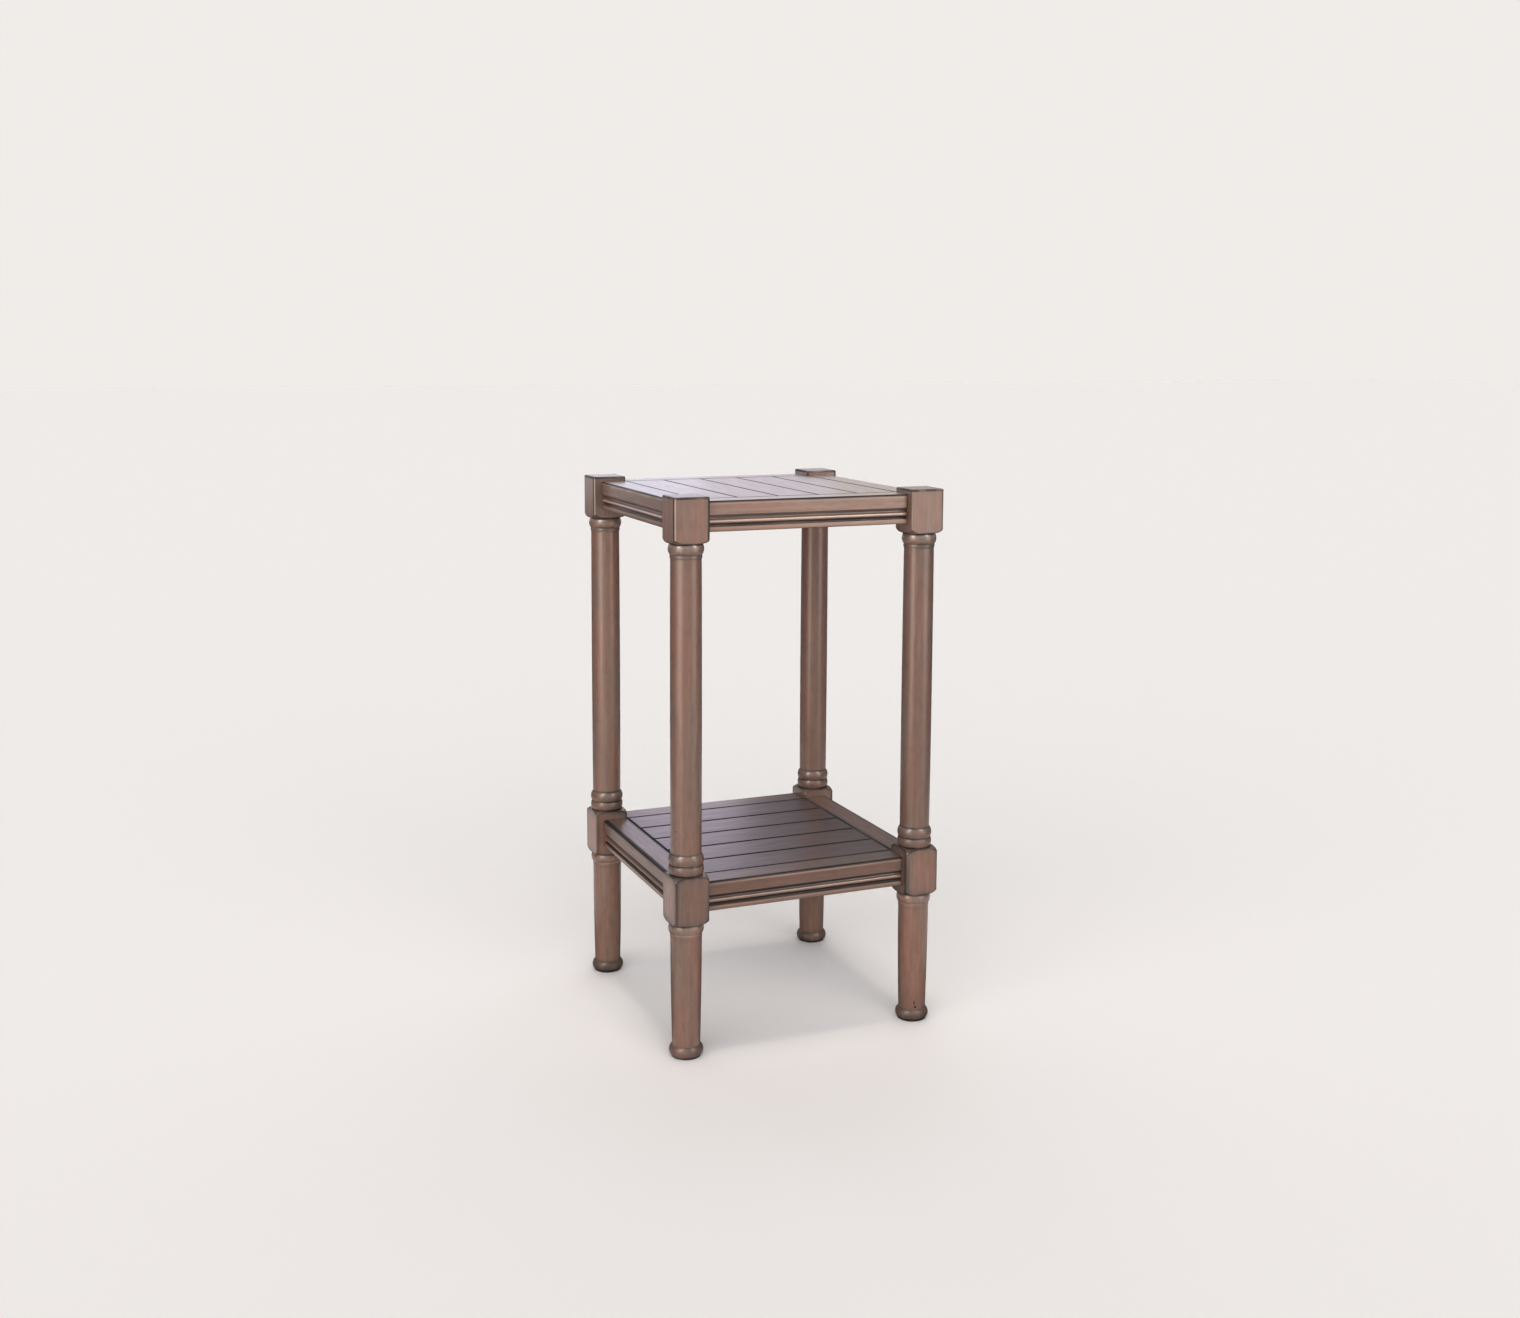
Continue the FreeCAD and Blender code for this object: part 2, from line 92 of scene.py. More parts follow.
class Side(Enum):
    """A side of the table, with the quarter turns that bring the front there."""

    FRONT = 0
    RIGHT = 1
    BACK = 2
    LEFT = 3


class Corner(Enum):
    """A corner of the table, with the quarter turns that bring the front left one there."""

    FRONT_LEFT = 0
    FRONT_RIGHT = 1
    BACK_RIGHT = 2
    BACK_LEFT = 3


class Run(Enum):
    """What runs along a side, with the word for it in the CAD nodes and in the pieces."""

    BOARD = ("border", "edge_board")
    RAIL = ("rail", "reeded_rail")


def linear(hex_colour: str) -> tuple[float, float, float, float]:
    """Turns an sRGB hex colour to linear light.

    Args:
        hex_colour: Six hex digits after a hash sign.

    Returns:
        Red, green, blue and an alpha of 1.
    """
    values = [int(hex_colour[start : start + 2], 16) / 255 for start in (1, 3, 5)]
    return (*(v / 12.92 if v <= 0.04045 else ((v + 0.055) / 1.055) ** 2.4 for v in values), 1.0)


def add_node(
    tree: bpy.types.NodeTree, kind: str, inputs: dict | tuple = (), output: int | str | None = 0, **settings
) -> bpy.types.NodeSocket:
    """Adds a node with its settings, values and links.

    Args:
        tree: The tree that takes the node.
        kind: Blender's name of the node type, from which a leading ShaderNode may be left out.
        inputs: A value or the output that feeds it, by input name or number, or in order.
        output: The name or number of the output wanted, None for all of them.
        **settings: The node's own properties.

    Returns:
        The output.
    """
    node = tree.nodes.new(kind if "Node" in kind else "ShaderNode" + kind)
    for name, value in settings.items():
        setattr(node, name, value)
    for key, value in (inputs if isinstance(inputs, dict) else dict(enumerate(inputs))).items():
        if isinstance(value, bpy.types.NodeSocket):
            tree.links.new(value, node.inputs[key])
        else:
            node.inputs[key].default_value = value
    return node.outputs if output is None else node.outputs[output]


def new_material(name: str) -> tuple[bpy.types.Material, Callable]:
    """Makes a material with an empty tree.

    Args:
        name: Its name.

    Returns:
        The material, and what adds nodes to it.
    """
    material = bpy.data.materials.new(name)
    material.use_nodes = True
    material.node_tree.nodes.clear()
    return material, partial(add_node, material.node_tree)


def layered(add: Callable, colour: tuple | bpy.types.NodeSocket, layers: list[tuple]) -> bpy.types.NodeSocket:
    """Lays tints over a colour, one after the other.

    Args:
        add: What adds a node to the material.
        colour: The colour beneath.
        layers: How much of each tint shows, and its sRGB hex colour.

    Returns:
        The colour with all its layers.
    """
    for share, tint in layers:
        inputs = {MIX_FACTOR: share, MIX_A: colour, MIX_B: linear(tint)}
        colour = add("Mix", inputs, MIX_COLOUR, data_type="RGBA")
    return colour


def quarter_turned(points: np.ndarray, turns: int) -> np.ndarray:
    """Turns points about the table's upright centre line.

    Args:
        points: An array whose last axis is x, y, z.
        turns: Quarter turns, counter-clockwise from above.

    Returns:
        The turned points.
    """
    turned = points.copy()
    for _ in range(turns % 4):
        turned = np.stack([-turned[..., 1], turned[..., 0], turned[..., 2]], axis=-1)
    return turned


def arc_through(first: tuple, middle: tuple, last: tuple, count: int) -> np.ndarray:
    """Points along the circular arc through three points of a plane.

    Args:
        first: Where the arc starts.
        middle: A point that it passes.
        last: Where it ends.
        count: How many steps it takes.

    Returns:
        An array of count + 1 points.
    """
    a, b, c = (complex(*point) for point in (first, middle, last))
    w = (c - a) / (b - a)
    centre = (b - a) * (w - abs(w) ** 2) / (2j * w.imag) + a
    through = np.angle((b - centre) / (a - centre))
    sweep = np.angle((c - centre) / (a - centre))
    if through * sweep < 0 or abs(through) > abs(sweep):
        sweep -= math.copysign(2 * math.pi, sweep)
    angles = np.angle(a - centre) + sweep * np.linspace(0, 1, count + 1)
    radius = abs(a - centre)
    return np.stack([centre.real + radius * np.cos(angles), centre.imag + radius * np.sin(angles)], axis=-1)


def fade(distance: np.ndarray, reach: float) -> np.ndarray:
    """A bell curve: 1 on a line and nearly 0 at twice its reach."""
    return np.exp(-((distance / reach) ** 2))


def lathed(profile: list[tuple], sides: int, first: int = 0) -> np.ndarray:
    """The points of a shape turned about Z.

    Args:
        profile: Radius and height of each ring. A radius is one number or one for each side.
        sides: How many points a ring has.
        first: The step at which each ring starts.

    Returns:
        An array of rings of points.
    """
    angles = 2 * math.pi * (np.arange(sides) + first) / sides
    rings = [(radius * np.cos(angles), radius * np.sin(angles), height) for radius, height in profile]
    return np.array([np.stack(np.broadcast_arrays(*ring), axis=-1) for ring in rings])


def band(low: int, high: int, count: int) -> list[tuple[int, int, int, int]]:
    """The faces between two rings of points, from the number of each ring's first point."""
    return [(low + n, low + (n + 1) % count, high + (n + 1) % count, high + n) for n in range(count)]


def new_mesh(name: str, vertices: list | np.ndarray, edges: list, faces: list) -> bpy.types.Mesh:
    """Makes a mesh of points with edges or faces.

    Args:
        name: Its name.
        vertices: Its points.
        edges: Its edges, as pairs of point numbers.
        faces: Its faces, as point numbers in turn.

    Returns:
        The mesh.
    """
    mesh = bpy.data.meshes.new(name)
    mesh.from_pydata(list(map(tuple, vertices)), edges, faces)
    return mesh


def new_object(name: str, data: bpy.types.ID) -> bpy.types.Object:
    """Puts an object in the scene.

    Args:
        name: Its name.
        data: The mesh, lamp or camera that it holds.

    Returns:
        The object.
    """
    holder = bpy.data.objects.new(name, data)
    bpy.context.scene.collection.objects.link(holder)
    return holder


def store(mesh: bpy.types.Mesh, values: dict[str, np.ndarray]) -> None:
    """Keeps numbers or vectors for each point of a mesh.

    Args:
        mesh: The mesh.
        values: Under each attribute's name, one row for each vertex.
    """
    for name, rows in values.items():
        kind, key = ("FLOAT_VECTOR", "vector") if rows.ndim == 2 else ("FLOAT", "value")
        attribute = mesh.attributes.new(name, kind, "POINT")
        attribute.data.foreach_set(key, np.ascontiguousarray(rows, dtype=np.float32).ravel())


def smooth(mesh: bpy.types.Mesh) -> None:
    """Shades a mesh smooth and keeps its sharp edges.

    Args:
        mesh: The mesh.
    """
    mesh.shade_smooth()
    mesh.set_sharp_from_angle(angle=SMOOTH_BELOW)
    mesh.update()


def add_piece(
    name: str, mesh: bpy.types.Mesh, material: bpy.types.Material, nodes: list[str]
) -> None:
    """Puts a finished mesh in the scene in place of its CAD nodes.

    Args:
        name: The piece's name.
        mesh: Its mesh, in place.
        material: Its finish.
        nodes: The CAD nodes that it stands for.
    """
    piece = new_object(name, mesh)
    mesh.materials.clear()
    mesh.materials.append(material)
    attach(piece, BODY)
    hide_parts(*nodes)
    LOG.info("%s: %d faces, for %s", name, len(mesh.polygons), ", ".join(nodes))


@dataclass
class Timber:
    """The piece of wood that a part is cut from: where it lay in the tree, and its shade."""

    draws: random.Random
    heart_distance: float = 85 * MM
    length_range: float = 3.0
    tone_range: float = 0.06

    def pick(self) -> tuple[np.ndarray, float]:
        """Draws the next piece.

        Returns:
            The offset of its grain and its shade, where 1 is the usual one.
        """
        turn = self.draws.uniform(0, 2 * math.pi)
        along = self.draws.uniform(0, self.length_range)
        offset = np.array([along, self.heart_distance * math.cos(turn), self.heart_distance * math.sin(turn)])
        return offset, 1 + self.draws.uniform(-self.tone_range, self.tone_range)


@dataclass
class Skin:
    """A closed surface of rings, with what the finish needs at each point."""

    places: np.ndarray
    glaze: np.ndarray
    rub: np.ndarray
    build_up: np.ndarray | None = None

    def mesh(self, name: str, grain: np.ndarray, tone: float | np.ndarray) -> bpy.types.Mesh:
        """Makes the mesh, closes its first and its last ring, and stores its values.

        Args:
            name: The mesh's name.
            grain: The place of each point in the timber, x along the grain.
            tone: The shade of the timber, one for all or one for each point.

        Returns:
            A closed mesh whose faces point outwards.
        """
        rows, columns = self.glaze.shape
        sources = {GLAZE: self.glaze, RUB: self.rub, TONE: np.broadcast_to(tone, self.glaze.shape)}
        if self.build_up is not None:
            sources[BUILD] = self.build_up
        vertices = self.places.reshape(-1, 3)
        values = {GRAIN: grain.reshape(-1, 3), **{key: source.ravel() for key, source in sources.items()}}
        starts = range(0, rows * columns, columns)
        faces = [face for low, high in zip(starts, starts[1:]) for face in band(low, high, columns)]
        for row, is_last in ((0, False), (rows - 1, True)):
            ring = list(range(row * columns, (row + 1) * columns))
            pole = len(vertices)
            vertices = np.vstack([vertices, self.places[row].mean(axis=0)])
            values[GRAIN] = np.vstack([values[GRAIN], grain[row].mean(axis=0)])
            for key, source in sources.items():
                values[key] = np.append(values[key], source[row].min())
            for pair in zip(ring, ring[1:] + ring[:1]):
                faces.append((*(pair if is_last else reversed(pair)), pole))
        mesh = new_mesh(name, vertices, [], faces)
        store(mesh, values)
        smooth(mesh)
        return mesh


@dataclass(frozen=True)
class Finish:
    """A material of the table."""

    name: str

    def surface(self, add: Callable) -> dict:
        """Works out what the shader shows.

        Args:
            add: What adds a node to the material.

        Returns:
            The shader's inputs.
        """
        raise NotImplementedError

    def build(self) -> bpy.types.Material:
        """Builds the material.

        Returns:
            The material.
        """
        material, add = new_material(self.name)
        add("OutputMaterial", {"Surface": add("BsdfPrincipled", self.surface(add))}, None)
        return material


@dataclass(frozen=True)
class Mark:
    """A knot or a nick: its place, and how far it reaches along each axis."""

    place: tuple[float, float, float]
    reach: tuple[float, float, float]
    strength: float


@dataclass(frozen=True)
class StainedHardwood(Finish):
    """Close-grained hardwood, wiped with brown stain and dark glaze, under satin lacquer.

    To the eye it is a muted brown that drifts between reddish and grey along the grain, with
    fine darker streaks, near-black lines in the hollows and a soft sheen.
    """

    reddish: str = "#835B4A"
    greyish: str = "#795D4F"
    dark_grain: str = "#4E3B33"
    # Thin glaze turns the stain to umber, and thick glaze is nearly black.
    thin_glaze: str = "#57483F"
    glaze: str = "#1D1514"
    pale: str = "#C0A493"
    # The width and the stretch along the grain of the patches, streaks, fibres and blotches, and
    # their finer layers. Real fibres are about 0.1 mm wide, too fine to show, so these are drawn
    # ten times as wide.
    patterns: tuple[tuple[float, float, int], ...] = (
        (24 * MM, 5, 2),
        (5 * MM, 12, 3),
        (1.0 * MM, 16, 2),
        (9 * MM, 2.2, 2),
    )
    pattern_roughness: float = 0.55
    ring_spacing: float = 7 * MM
    ring_stretch: float = 12
    ring_contrast: float = 0.10
    streak_contrast: float = 0.15
    blotch_contrast: float = 0.25
    fibre_contrast: float = 0.24
    pale_contrast: float = 0.09
    roughness_low: float = 0.40
    roughness_high: float = 0.52
    glaze_roughness: float = 0.25
    ior: float = 1.5
    base_gloss: float = 0.2
    lacquer_weight: float = 0.75
    lacquer_roughness: float = 0.27
    lacquer_build_up: float = 0.25
    fibre_depth: float = 0.05 * MM
    fibre_relief: float = 0.35
    streak_relief_share: float = 0.6
    thinnest_glaze: float = 0.72
    marks: tuple[Mark, ...] = ()

    def marked(self, add: Callable, glaze: bpy.types.NodeSocket) -> bpy.types.NodeSocket:
        """Adds the marks to the glaze.

        Args:
            add: What adds a node to the material.
            glaze: The output that gives the glaze.

        Returns:
            The output with the marks.
        """
        place = add("TexCoord", (), "Object") if self.marks else None
        for mark in self.marks:
            aside = add("VectorMath", (place, mark.place), operation="SUBTRACT")
            share = add("VectorMath", (aside, mark.reach), operation="DIVIDE")
            distance = add("VectorMath", (share,), "Value", operation="LENGTH")
            dark = add("MapRange", (distance, 1.0, 0.35, 0, mark.strength))
            glaze = add("Math", (glaze, dark), operation="MAXIMUM")
        return glaze

    def surface(self, add: Callable) -> dict:
        """Works out what the shader shows from the grain, glaze, rub, tone and build of a mesh.

        Args:
            add: What adds a node to the material.

        Returns:
            The shader's inputs.
        """
        grain = add("Attribute", (), "Vector", attribute_name=GRAIN)
        glaze, rub, tone, build_up = (
            add("Attribute", (), "Fac", attribute_name=name) for name in (GLAZE, RUB, TONE, BUILD)
        )
        noises = []
        for width, stretch, detail in self.patterns:
            drawn = add("Mapping", {"Vector": grain, "Scale": (1 / stretch, 1, 1)})
            fineness = {"Scale": 1 / width, "Detail": detail, "Roughness": self.pattern_roughness}
            noises.append(add("TexNoise", {"Vector": drawn, **fineness}, "Fac"))
        patches, streaks, fibres, blotches = noises
        drawn = add("Mapping", {"Vector": grain, "Scale": (1 / self.ring_stretch, 1, 1)})
        spacing = math.pi / 10 / self.ring_spacing
        waves = {"Vector": drawn, "Scale": spacing, "Distortion": 2.5, "Detail": 2, "Detail Scale": 0.6}
        rings = add("TexWave", waves, "Fac", wave_type="RINGS", rings_direction="X")

        # Where each pattern starts to show, where it shows fully, and how much it then shows
        layers = [
            (add("MapRange", (pattern, start, full, 0, contrast)), tint)
            for pattern, start, full, contrast, tint in (
                (patches, 0.38, 0.62, 1, self.greyish),
                (streaks, 0.50, 0.78, self.streak_contrast, self.dark_grain),
                (blotches, 0.48, 0.72, self.blotch_contrast, self.dark_grain),
                (rings, 0.60, 1.0, self.ring_contrast, self.dark_grain),
                (fibres, 0.50, 0.74, self.fibre_contrast, self.dark_grain),
                (streaks, 0.48, 0.28, self.pale_contrast, self.pale),
            )
        ]
        stained = layered(add, linear(self.reddish), layers)
        # The tone scales the stain. On block faces, boards and planks it also carries painted light and
        # shade.
        stained = add("HueSaturation", {"Value": tone, "Color": stained})
        # Pale where the stain is rubbed through, partly painted highlights on arrises, bead crests and reeds
        rubbed = add("Math", (rub, add("MapRange", (streaks, 0.35, 0.60, 0.9, 0.45))), operation="MULTIPLY")
        thinned = add("MapRange", (patches, 0.30, 0.65, self.thinnest_glaze, 1.05))
        soaked = add("Math", (self.marked(add, glaze), thinned), operation="MULTIPLY")
        soaked = add("Clamp", (soaked,))
        layers = [
            (rubbed, self.pale),
            (add("MapRange", (soaked, 0, 0.55, 0, 0.85)), self.thin_glaze),
            (add("MapRange", (soaked, 0.30, 0.90, 0, 1)), self.glaze),
        ]
        roughness = add("MapRange", (streaks, 0.3, 0.7, self.roughness_low, self.roughness_high))
        roughness, relief, lacquer = (
            add("Math", (ground, add("Math", (pattern, share), operation="MULTIPLY")), operation="ADD")
            for ground, pattern, share in (
                (roughness, soaked, self.glaze_roughness),
                (fibres, streaks, self.streak_relief_share),
                (self.lacquer_weight, build_up, self.lacquer_build_up),
            )
        )
        bump = {"Height": relief, "Strength": self.fibre_relief, "Distance": self.fibre_depth}
        covered = add("MapRange", (soaked, 0.3, 0.9, 1, 0.15))
        return {
            "Base Color": layered(add, stained, layers),
            "Roughness": roughness,
            "Normal": add("Bump", bump),
            "IOR": self.ior,
            "Specular IOR Level": self.base_gloss,
            "Coat Weight": add("Math", (lacquer, covered), operation="MULTIPLY"),
            "Coat Roughness": self.lacquer_roughness,
        }


@dataclass(frozen=True)
class PlanedSoftwood(Finish):
    """Planed pine left unfinished under the boards: pale straw with brown growth lines, matt."""

    name: str = "planed_pine"
    early: str = "#B8936A"
    late: str = "#8A6340"
    ring_spacing: float = 4 * MM
    ring_contrast: float = 0.7
    roughness: float = 0.68
    fibre_width: float = 1.2 * MM
    fibre_contrast: float = 0.35
    fibre_relief: float = 0.4
    fibre_depth: float = 0.1 * MM
    stretch: float = 18
    # Turned half way between X and Y, because the pieces run along either
    grain_turn: tuple[float, float, float] = (0.05, 0.04, math.pi / 4)

    def surface(self, add: Callable) -> dict:
        """Works out what the shader shows from object coordinates.

        Args:
            add: What adds a node to the material.

        Returns:
            The shader's inputs.
        """
        place = add("TexCoord", (), "Object")
        turned = add("Mapping", {"Vector": place, "Rotation": self.grain_turn})
        spacing = math.pi / 10 / self.ring_spacing
        waves = {"Vector": turned, "Scale": spacing, "Distortion": 4.0, "Detail": 2, "Detail Scale": 1.2}
        rings = add("TexWave", waves, "Fac", wave_type="RINGS", rings_direction="X")
        drawn = add("Mapping", {"Vector": turned, "Scale": (1 / self.stretch, 1, 1)})
        fibres = add("TexNoise", {"Vector": drawn, "Scale": 1 / self.fibre_width, "Detail": 2}, "Fac")
        share = add("Math", (rings, self.ring_contrast), operation="MULTIPLY")
        wood = layered(add, linear(self.early), [(share, self.late)])
        inputs = {MIX_FACTOR: self.fibre_contrast, MIX_A: wood, MIX_B: fibres}
        bump = {"Height": fibres, "Strength": self.fibre_relief, "Distance": self.fibre_depth}
        return {
            "Base Color": add("Mix", inputs, MIX_COLOUR, data_type="RGBA", blend_type="OVERLAY"),
            "Roughness": self.roughness,
            "Normal": add("Bump", bump),
        }


@dataclass(frozen=True)
class SmallPart(Finish):
    """A finish for screws, dowels and glides, with a fine mottle in its colour and its gloss."""

    base: str
    mottle: str
    metallic: float
    roughness_low: float
    roughness_high: float
    mottle_width: float
    relief_depth: float
    relief: float = 0.3

    def surface(self, add: Callable) -> dict:
        """Works out what the shader shows from object coordinates.

        Args:
            add: What adds a node to the material.

        Returns:
            The shader's inputs.
        """
        place = add("TexCoord", (), "Object")
        noise = add("TexNoise", {"Vector": place, "Scale": 1 / self.mottle_width, "Detail": 3}, "Fac")
        bump = {"Height": noise, "Strength": self.relief, "Distance": self.relief_depth}
        return {
            "Base Color": layered(add, linear(self.base), [(noise, self.mottle)]),
            "Roughness": add("MapRange", (noise, 0.3, 0.7, self.roughness_low, self.roughness_high)),
            "Normal": add("Bump", bump),
            "Metallic": self.metallic,
        }


POST_MARKS = (
    # A knot just above a foot, and a nick in the front left column
    Mark((0.1681, -0.1914, 0.0215), (2.8 * MM, 2.8 * MM, 2.3 * MM), 1.5),
    Mark((0.1665, -0.1911, 0.0275), (1.8 * MM, 1.8 * MM, 5.0 * MM), 1.0),
    Mark((-0.1912, -0.1825, 0.3155), (2.2 * MM, 2.2 * MM, 1.6 * MM), 0.9),
)
# Glaze that pooled in a shelf rail's groove
RAIL_MARKS = (Mark((-0.1500, -0.1820, 0.2112), (9 * MM, 4 * MM, 3.2 * MM), 1.0),)
SHELF_GLOSS = {"lacquer_build_up": -0.1}

FINISHES = {
    "posts": StainedHardwood("turned_hardwood_brown_stain", thinnest_glaze=0.5, marks=POST_MARKS),
    "top_boards": StainedHardwood("top_board_hardwood_brown_stain"),
    # The shelf's boards are a little more purple, and darker as a painted shade under the top.
    "shelf_boards": StainedHardwood("shelf_board_hardwood_brown_stain", "#83574C", "#765956", **SHELF_GLOSS),
    "shelf_edges": StainedHardwood("shelf_edge_hardwood_brown_stain", **SHELF_GLOSS),
    "rails": StainedHardwood("reeded_hardwood_brown_stain", thinnest_glaze=0.62, marks=RAIL_MARKS),
    "bracing": PlanedSoftwood(),
    # Bright zinc plate on steel: a cool pale grey with a faint crystalline mottle.
    "screws": SmallPart("zinc_plated_steel", "#B9BCBA", "#9A9E9F", 1.0, 0.28, 0.42, 0.8 * MM, 0.02 * MM),
    # Beech pins: pinkish straw with short flecks, matt.
    "dowels": SmallPart("turned_beech", "#C9A27A", "#B08458", 0.0, 0.55, 0.7, 1.0 * MM, 0.05 * MM),
    # Moulded nylon: near black with a dull bloom.
    "glides": SmallPart("moulded_black_nylon", "#1B1817", "#2A2624", 0.0, 0.45, 0.6, 1.5 * MM, 0.03 * MM),
}


@dataclass(frozen=True)
class PackedSizes:
    """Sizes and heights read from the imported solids."""

    height: float
    square: float
    half_width: float
    block_inner: float
    glide_top: float
    edge_face: float
    rail_inner: float
    top_surface: float
    shelf_surface: float
    board_thickness: float
    rail_height: float

    @classmethod
    def read(cls) -> "PackedSizes":
        """Reads the boxes of the solids.

        Returns:
            The sizes that the dressed pieces share.
        """
        leg_low, leg_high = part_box("leg_front_left")
        border_low, border_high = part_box("top_border_front")
        rail_low, rail_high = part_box("top_rail_front")
        return cls(
            height=leg_high.z,
            square=leg_high.x - leg_low.x,
            half_width=-leg_low.x,
            block_inner=-leg_high.x,
            glide_top=leg_low.z,
            edge_face=-border_low.y,
            rail_inner=-rail_high.y,
            top_surface=border_high.z,
            shelf_surface=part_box("shelf_border_front")[1].z,
            board_thickness=border_high.z - border_low.z,
            rail_height=border_low.z - rail_low.z,
        )


@dataclass
class PostColumns:
    """The lines that run up a post, closer together at its arrises."""

    half: float
    arris: float
    face_shares: tuple = (0, 0.12, 0.24, 0.36, 0.48, 0.60, 0.71, 0.80, 0.87, 0.92, 0.95, 0.97, 0.985, 1)
    arc_steps: int = 4
    least_arris: float = 0.05 * MM
    angles: np.ndarray = field(init=False)
    arris_distance: np.ndarray = field(init=False)

    def __post_init__(self) -> None:
        """Works out the angles and how far each line lies from its arris."""
        flat = self.half - self.arris
        tangent = math.atan2(flat, self.half)
        quarter_arc = self.arris * math.pi / 4
        angles = [math.atan2(share * flat, self.half) for share in self.face_shares]
        distances = [(1 - share) * flat + quarter_arc for share in self.face_shares]
        for step in range(1, self.arc_steps + 1):
            share = step / self.arc_steps
            angles.append(tangent + (math.pi / 4 - tangent) * share)
            distances.append(quarter_arc * (1 - share))
        mirrored = [(-angle, distance) for angle, distance in zip(angles[1:-1], distances[1:-1])]
        eighths = list(reversed(mirrored)) + list(zip(angles, distances))
        lines = [(angle + QUARTER * turn, distance) for turn in range(4) for angle, distance in eighths]
        self.angles, self.arris_distance = np.array(lines).T

    def outline(self, inset: float) -> np.ndarray:
        """The rounded square of a post, drawn in by an inset.

        Args:
            inset: How far it is drawn in.

        Returns:
            Its radius at each line.
        """
        half = self.half - inset
        arris = max(self.arris - inset, self.least_arris)
        from_face = np.abs((self.angles + math.pi / 4) % QUARTER - math.pi / 4)
        centre = half - arris
        along = centre * (np.cos(from_face) + np.sin(from_face))
        arc = along + np.sqrt(np.maximum(along**2 - (2 * centre**2 - arris**2), 0))
        return np.where(from_face <= math.atan2(centre, half), half / np.cos(from_face), arc)


@dataclass(frozen=True)
class ArrisWear:
    """The glaze before and past an arris of a post's top and lower blocks, its reach, and the top's rubbing,
    partly a painted highlight.

    Before and past are counted counter-clockwise from above.
    """

    before: float = 0.9
    past: float = 0.9
    lower_before: float = 0.9
    lower_past: float = 0.9
    rub: float = 0.0
    reach: float = 1.0 * MM


@dataclass(frozen=True)
class PostLooks:
    """The stain, the wear and the painted light and shade of one post."""

    # The column and the leg are darker than the square faces.
    column_tone: float
    leg_tone: float
    # Painted light and shade on the faces of the top block and the lower one, each face lighter or darker as
    # the light falls on it: right, back, left and front
    block_tones: tuple[tuple[float, ...], tuple[float, ...]]
    # The wear of its arrises, back right first and counter-clockwise
    wear: tuple[ArrisWear, ...]


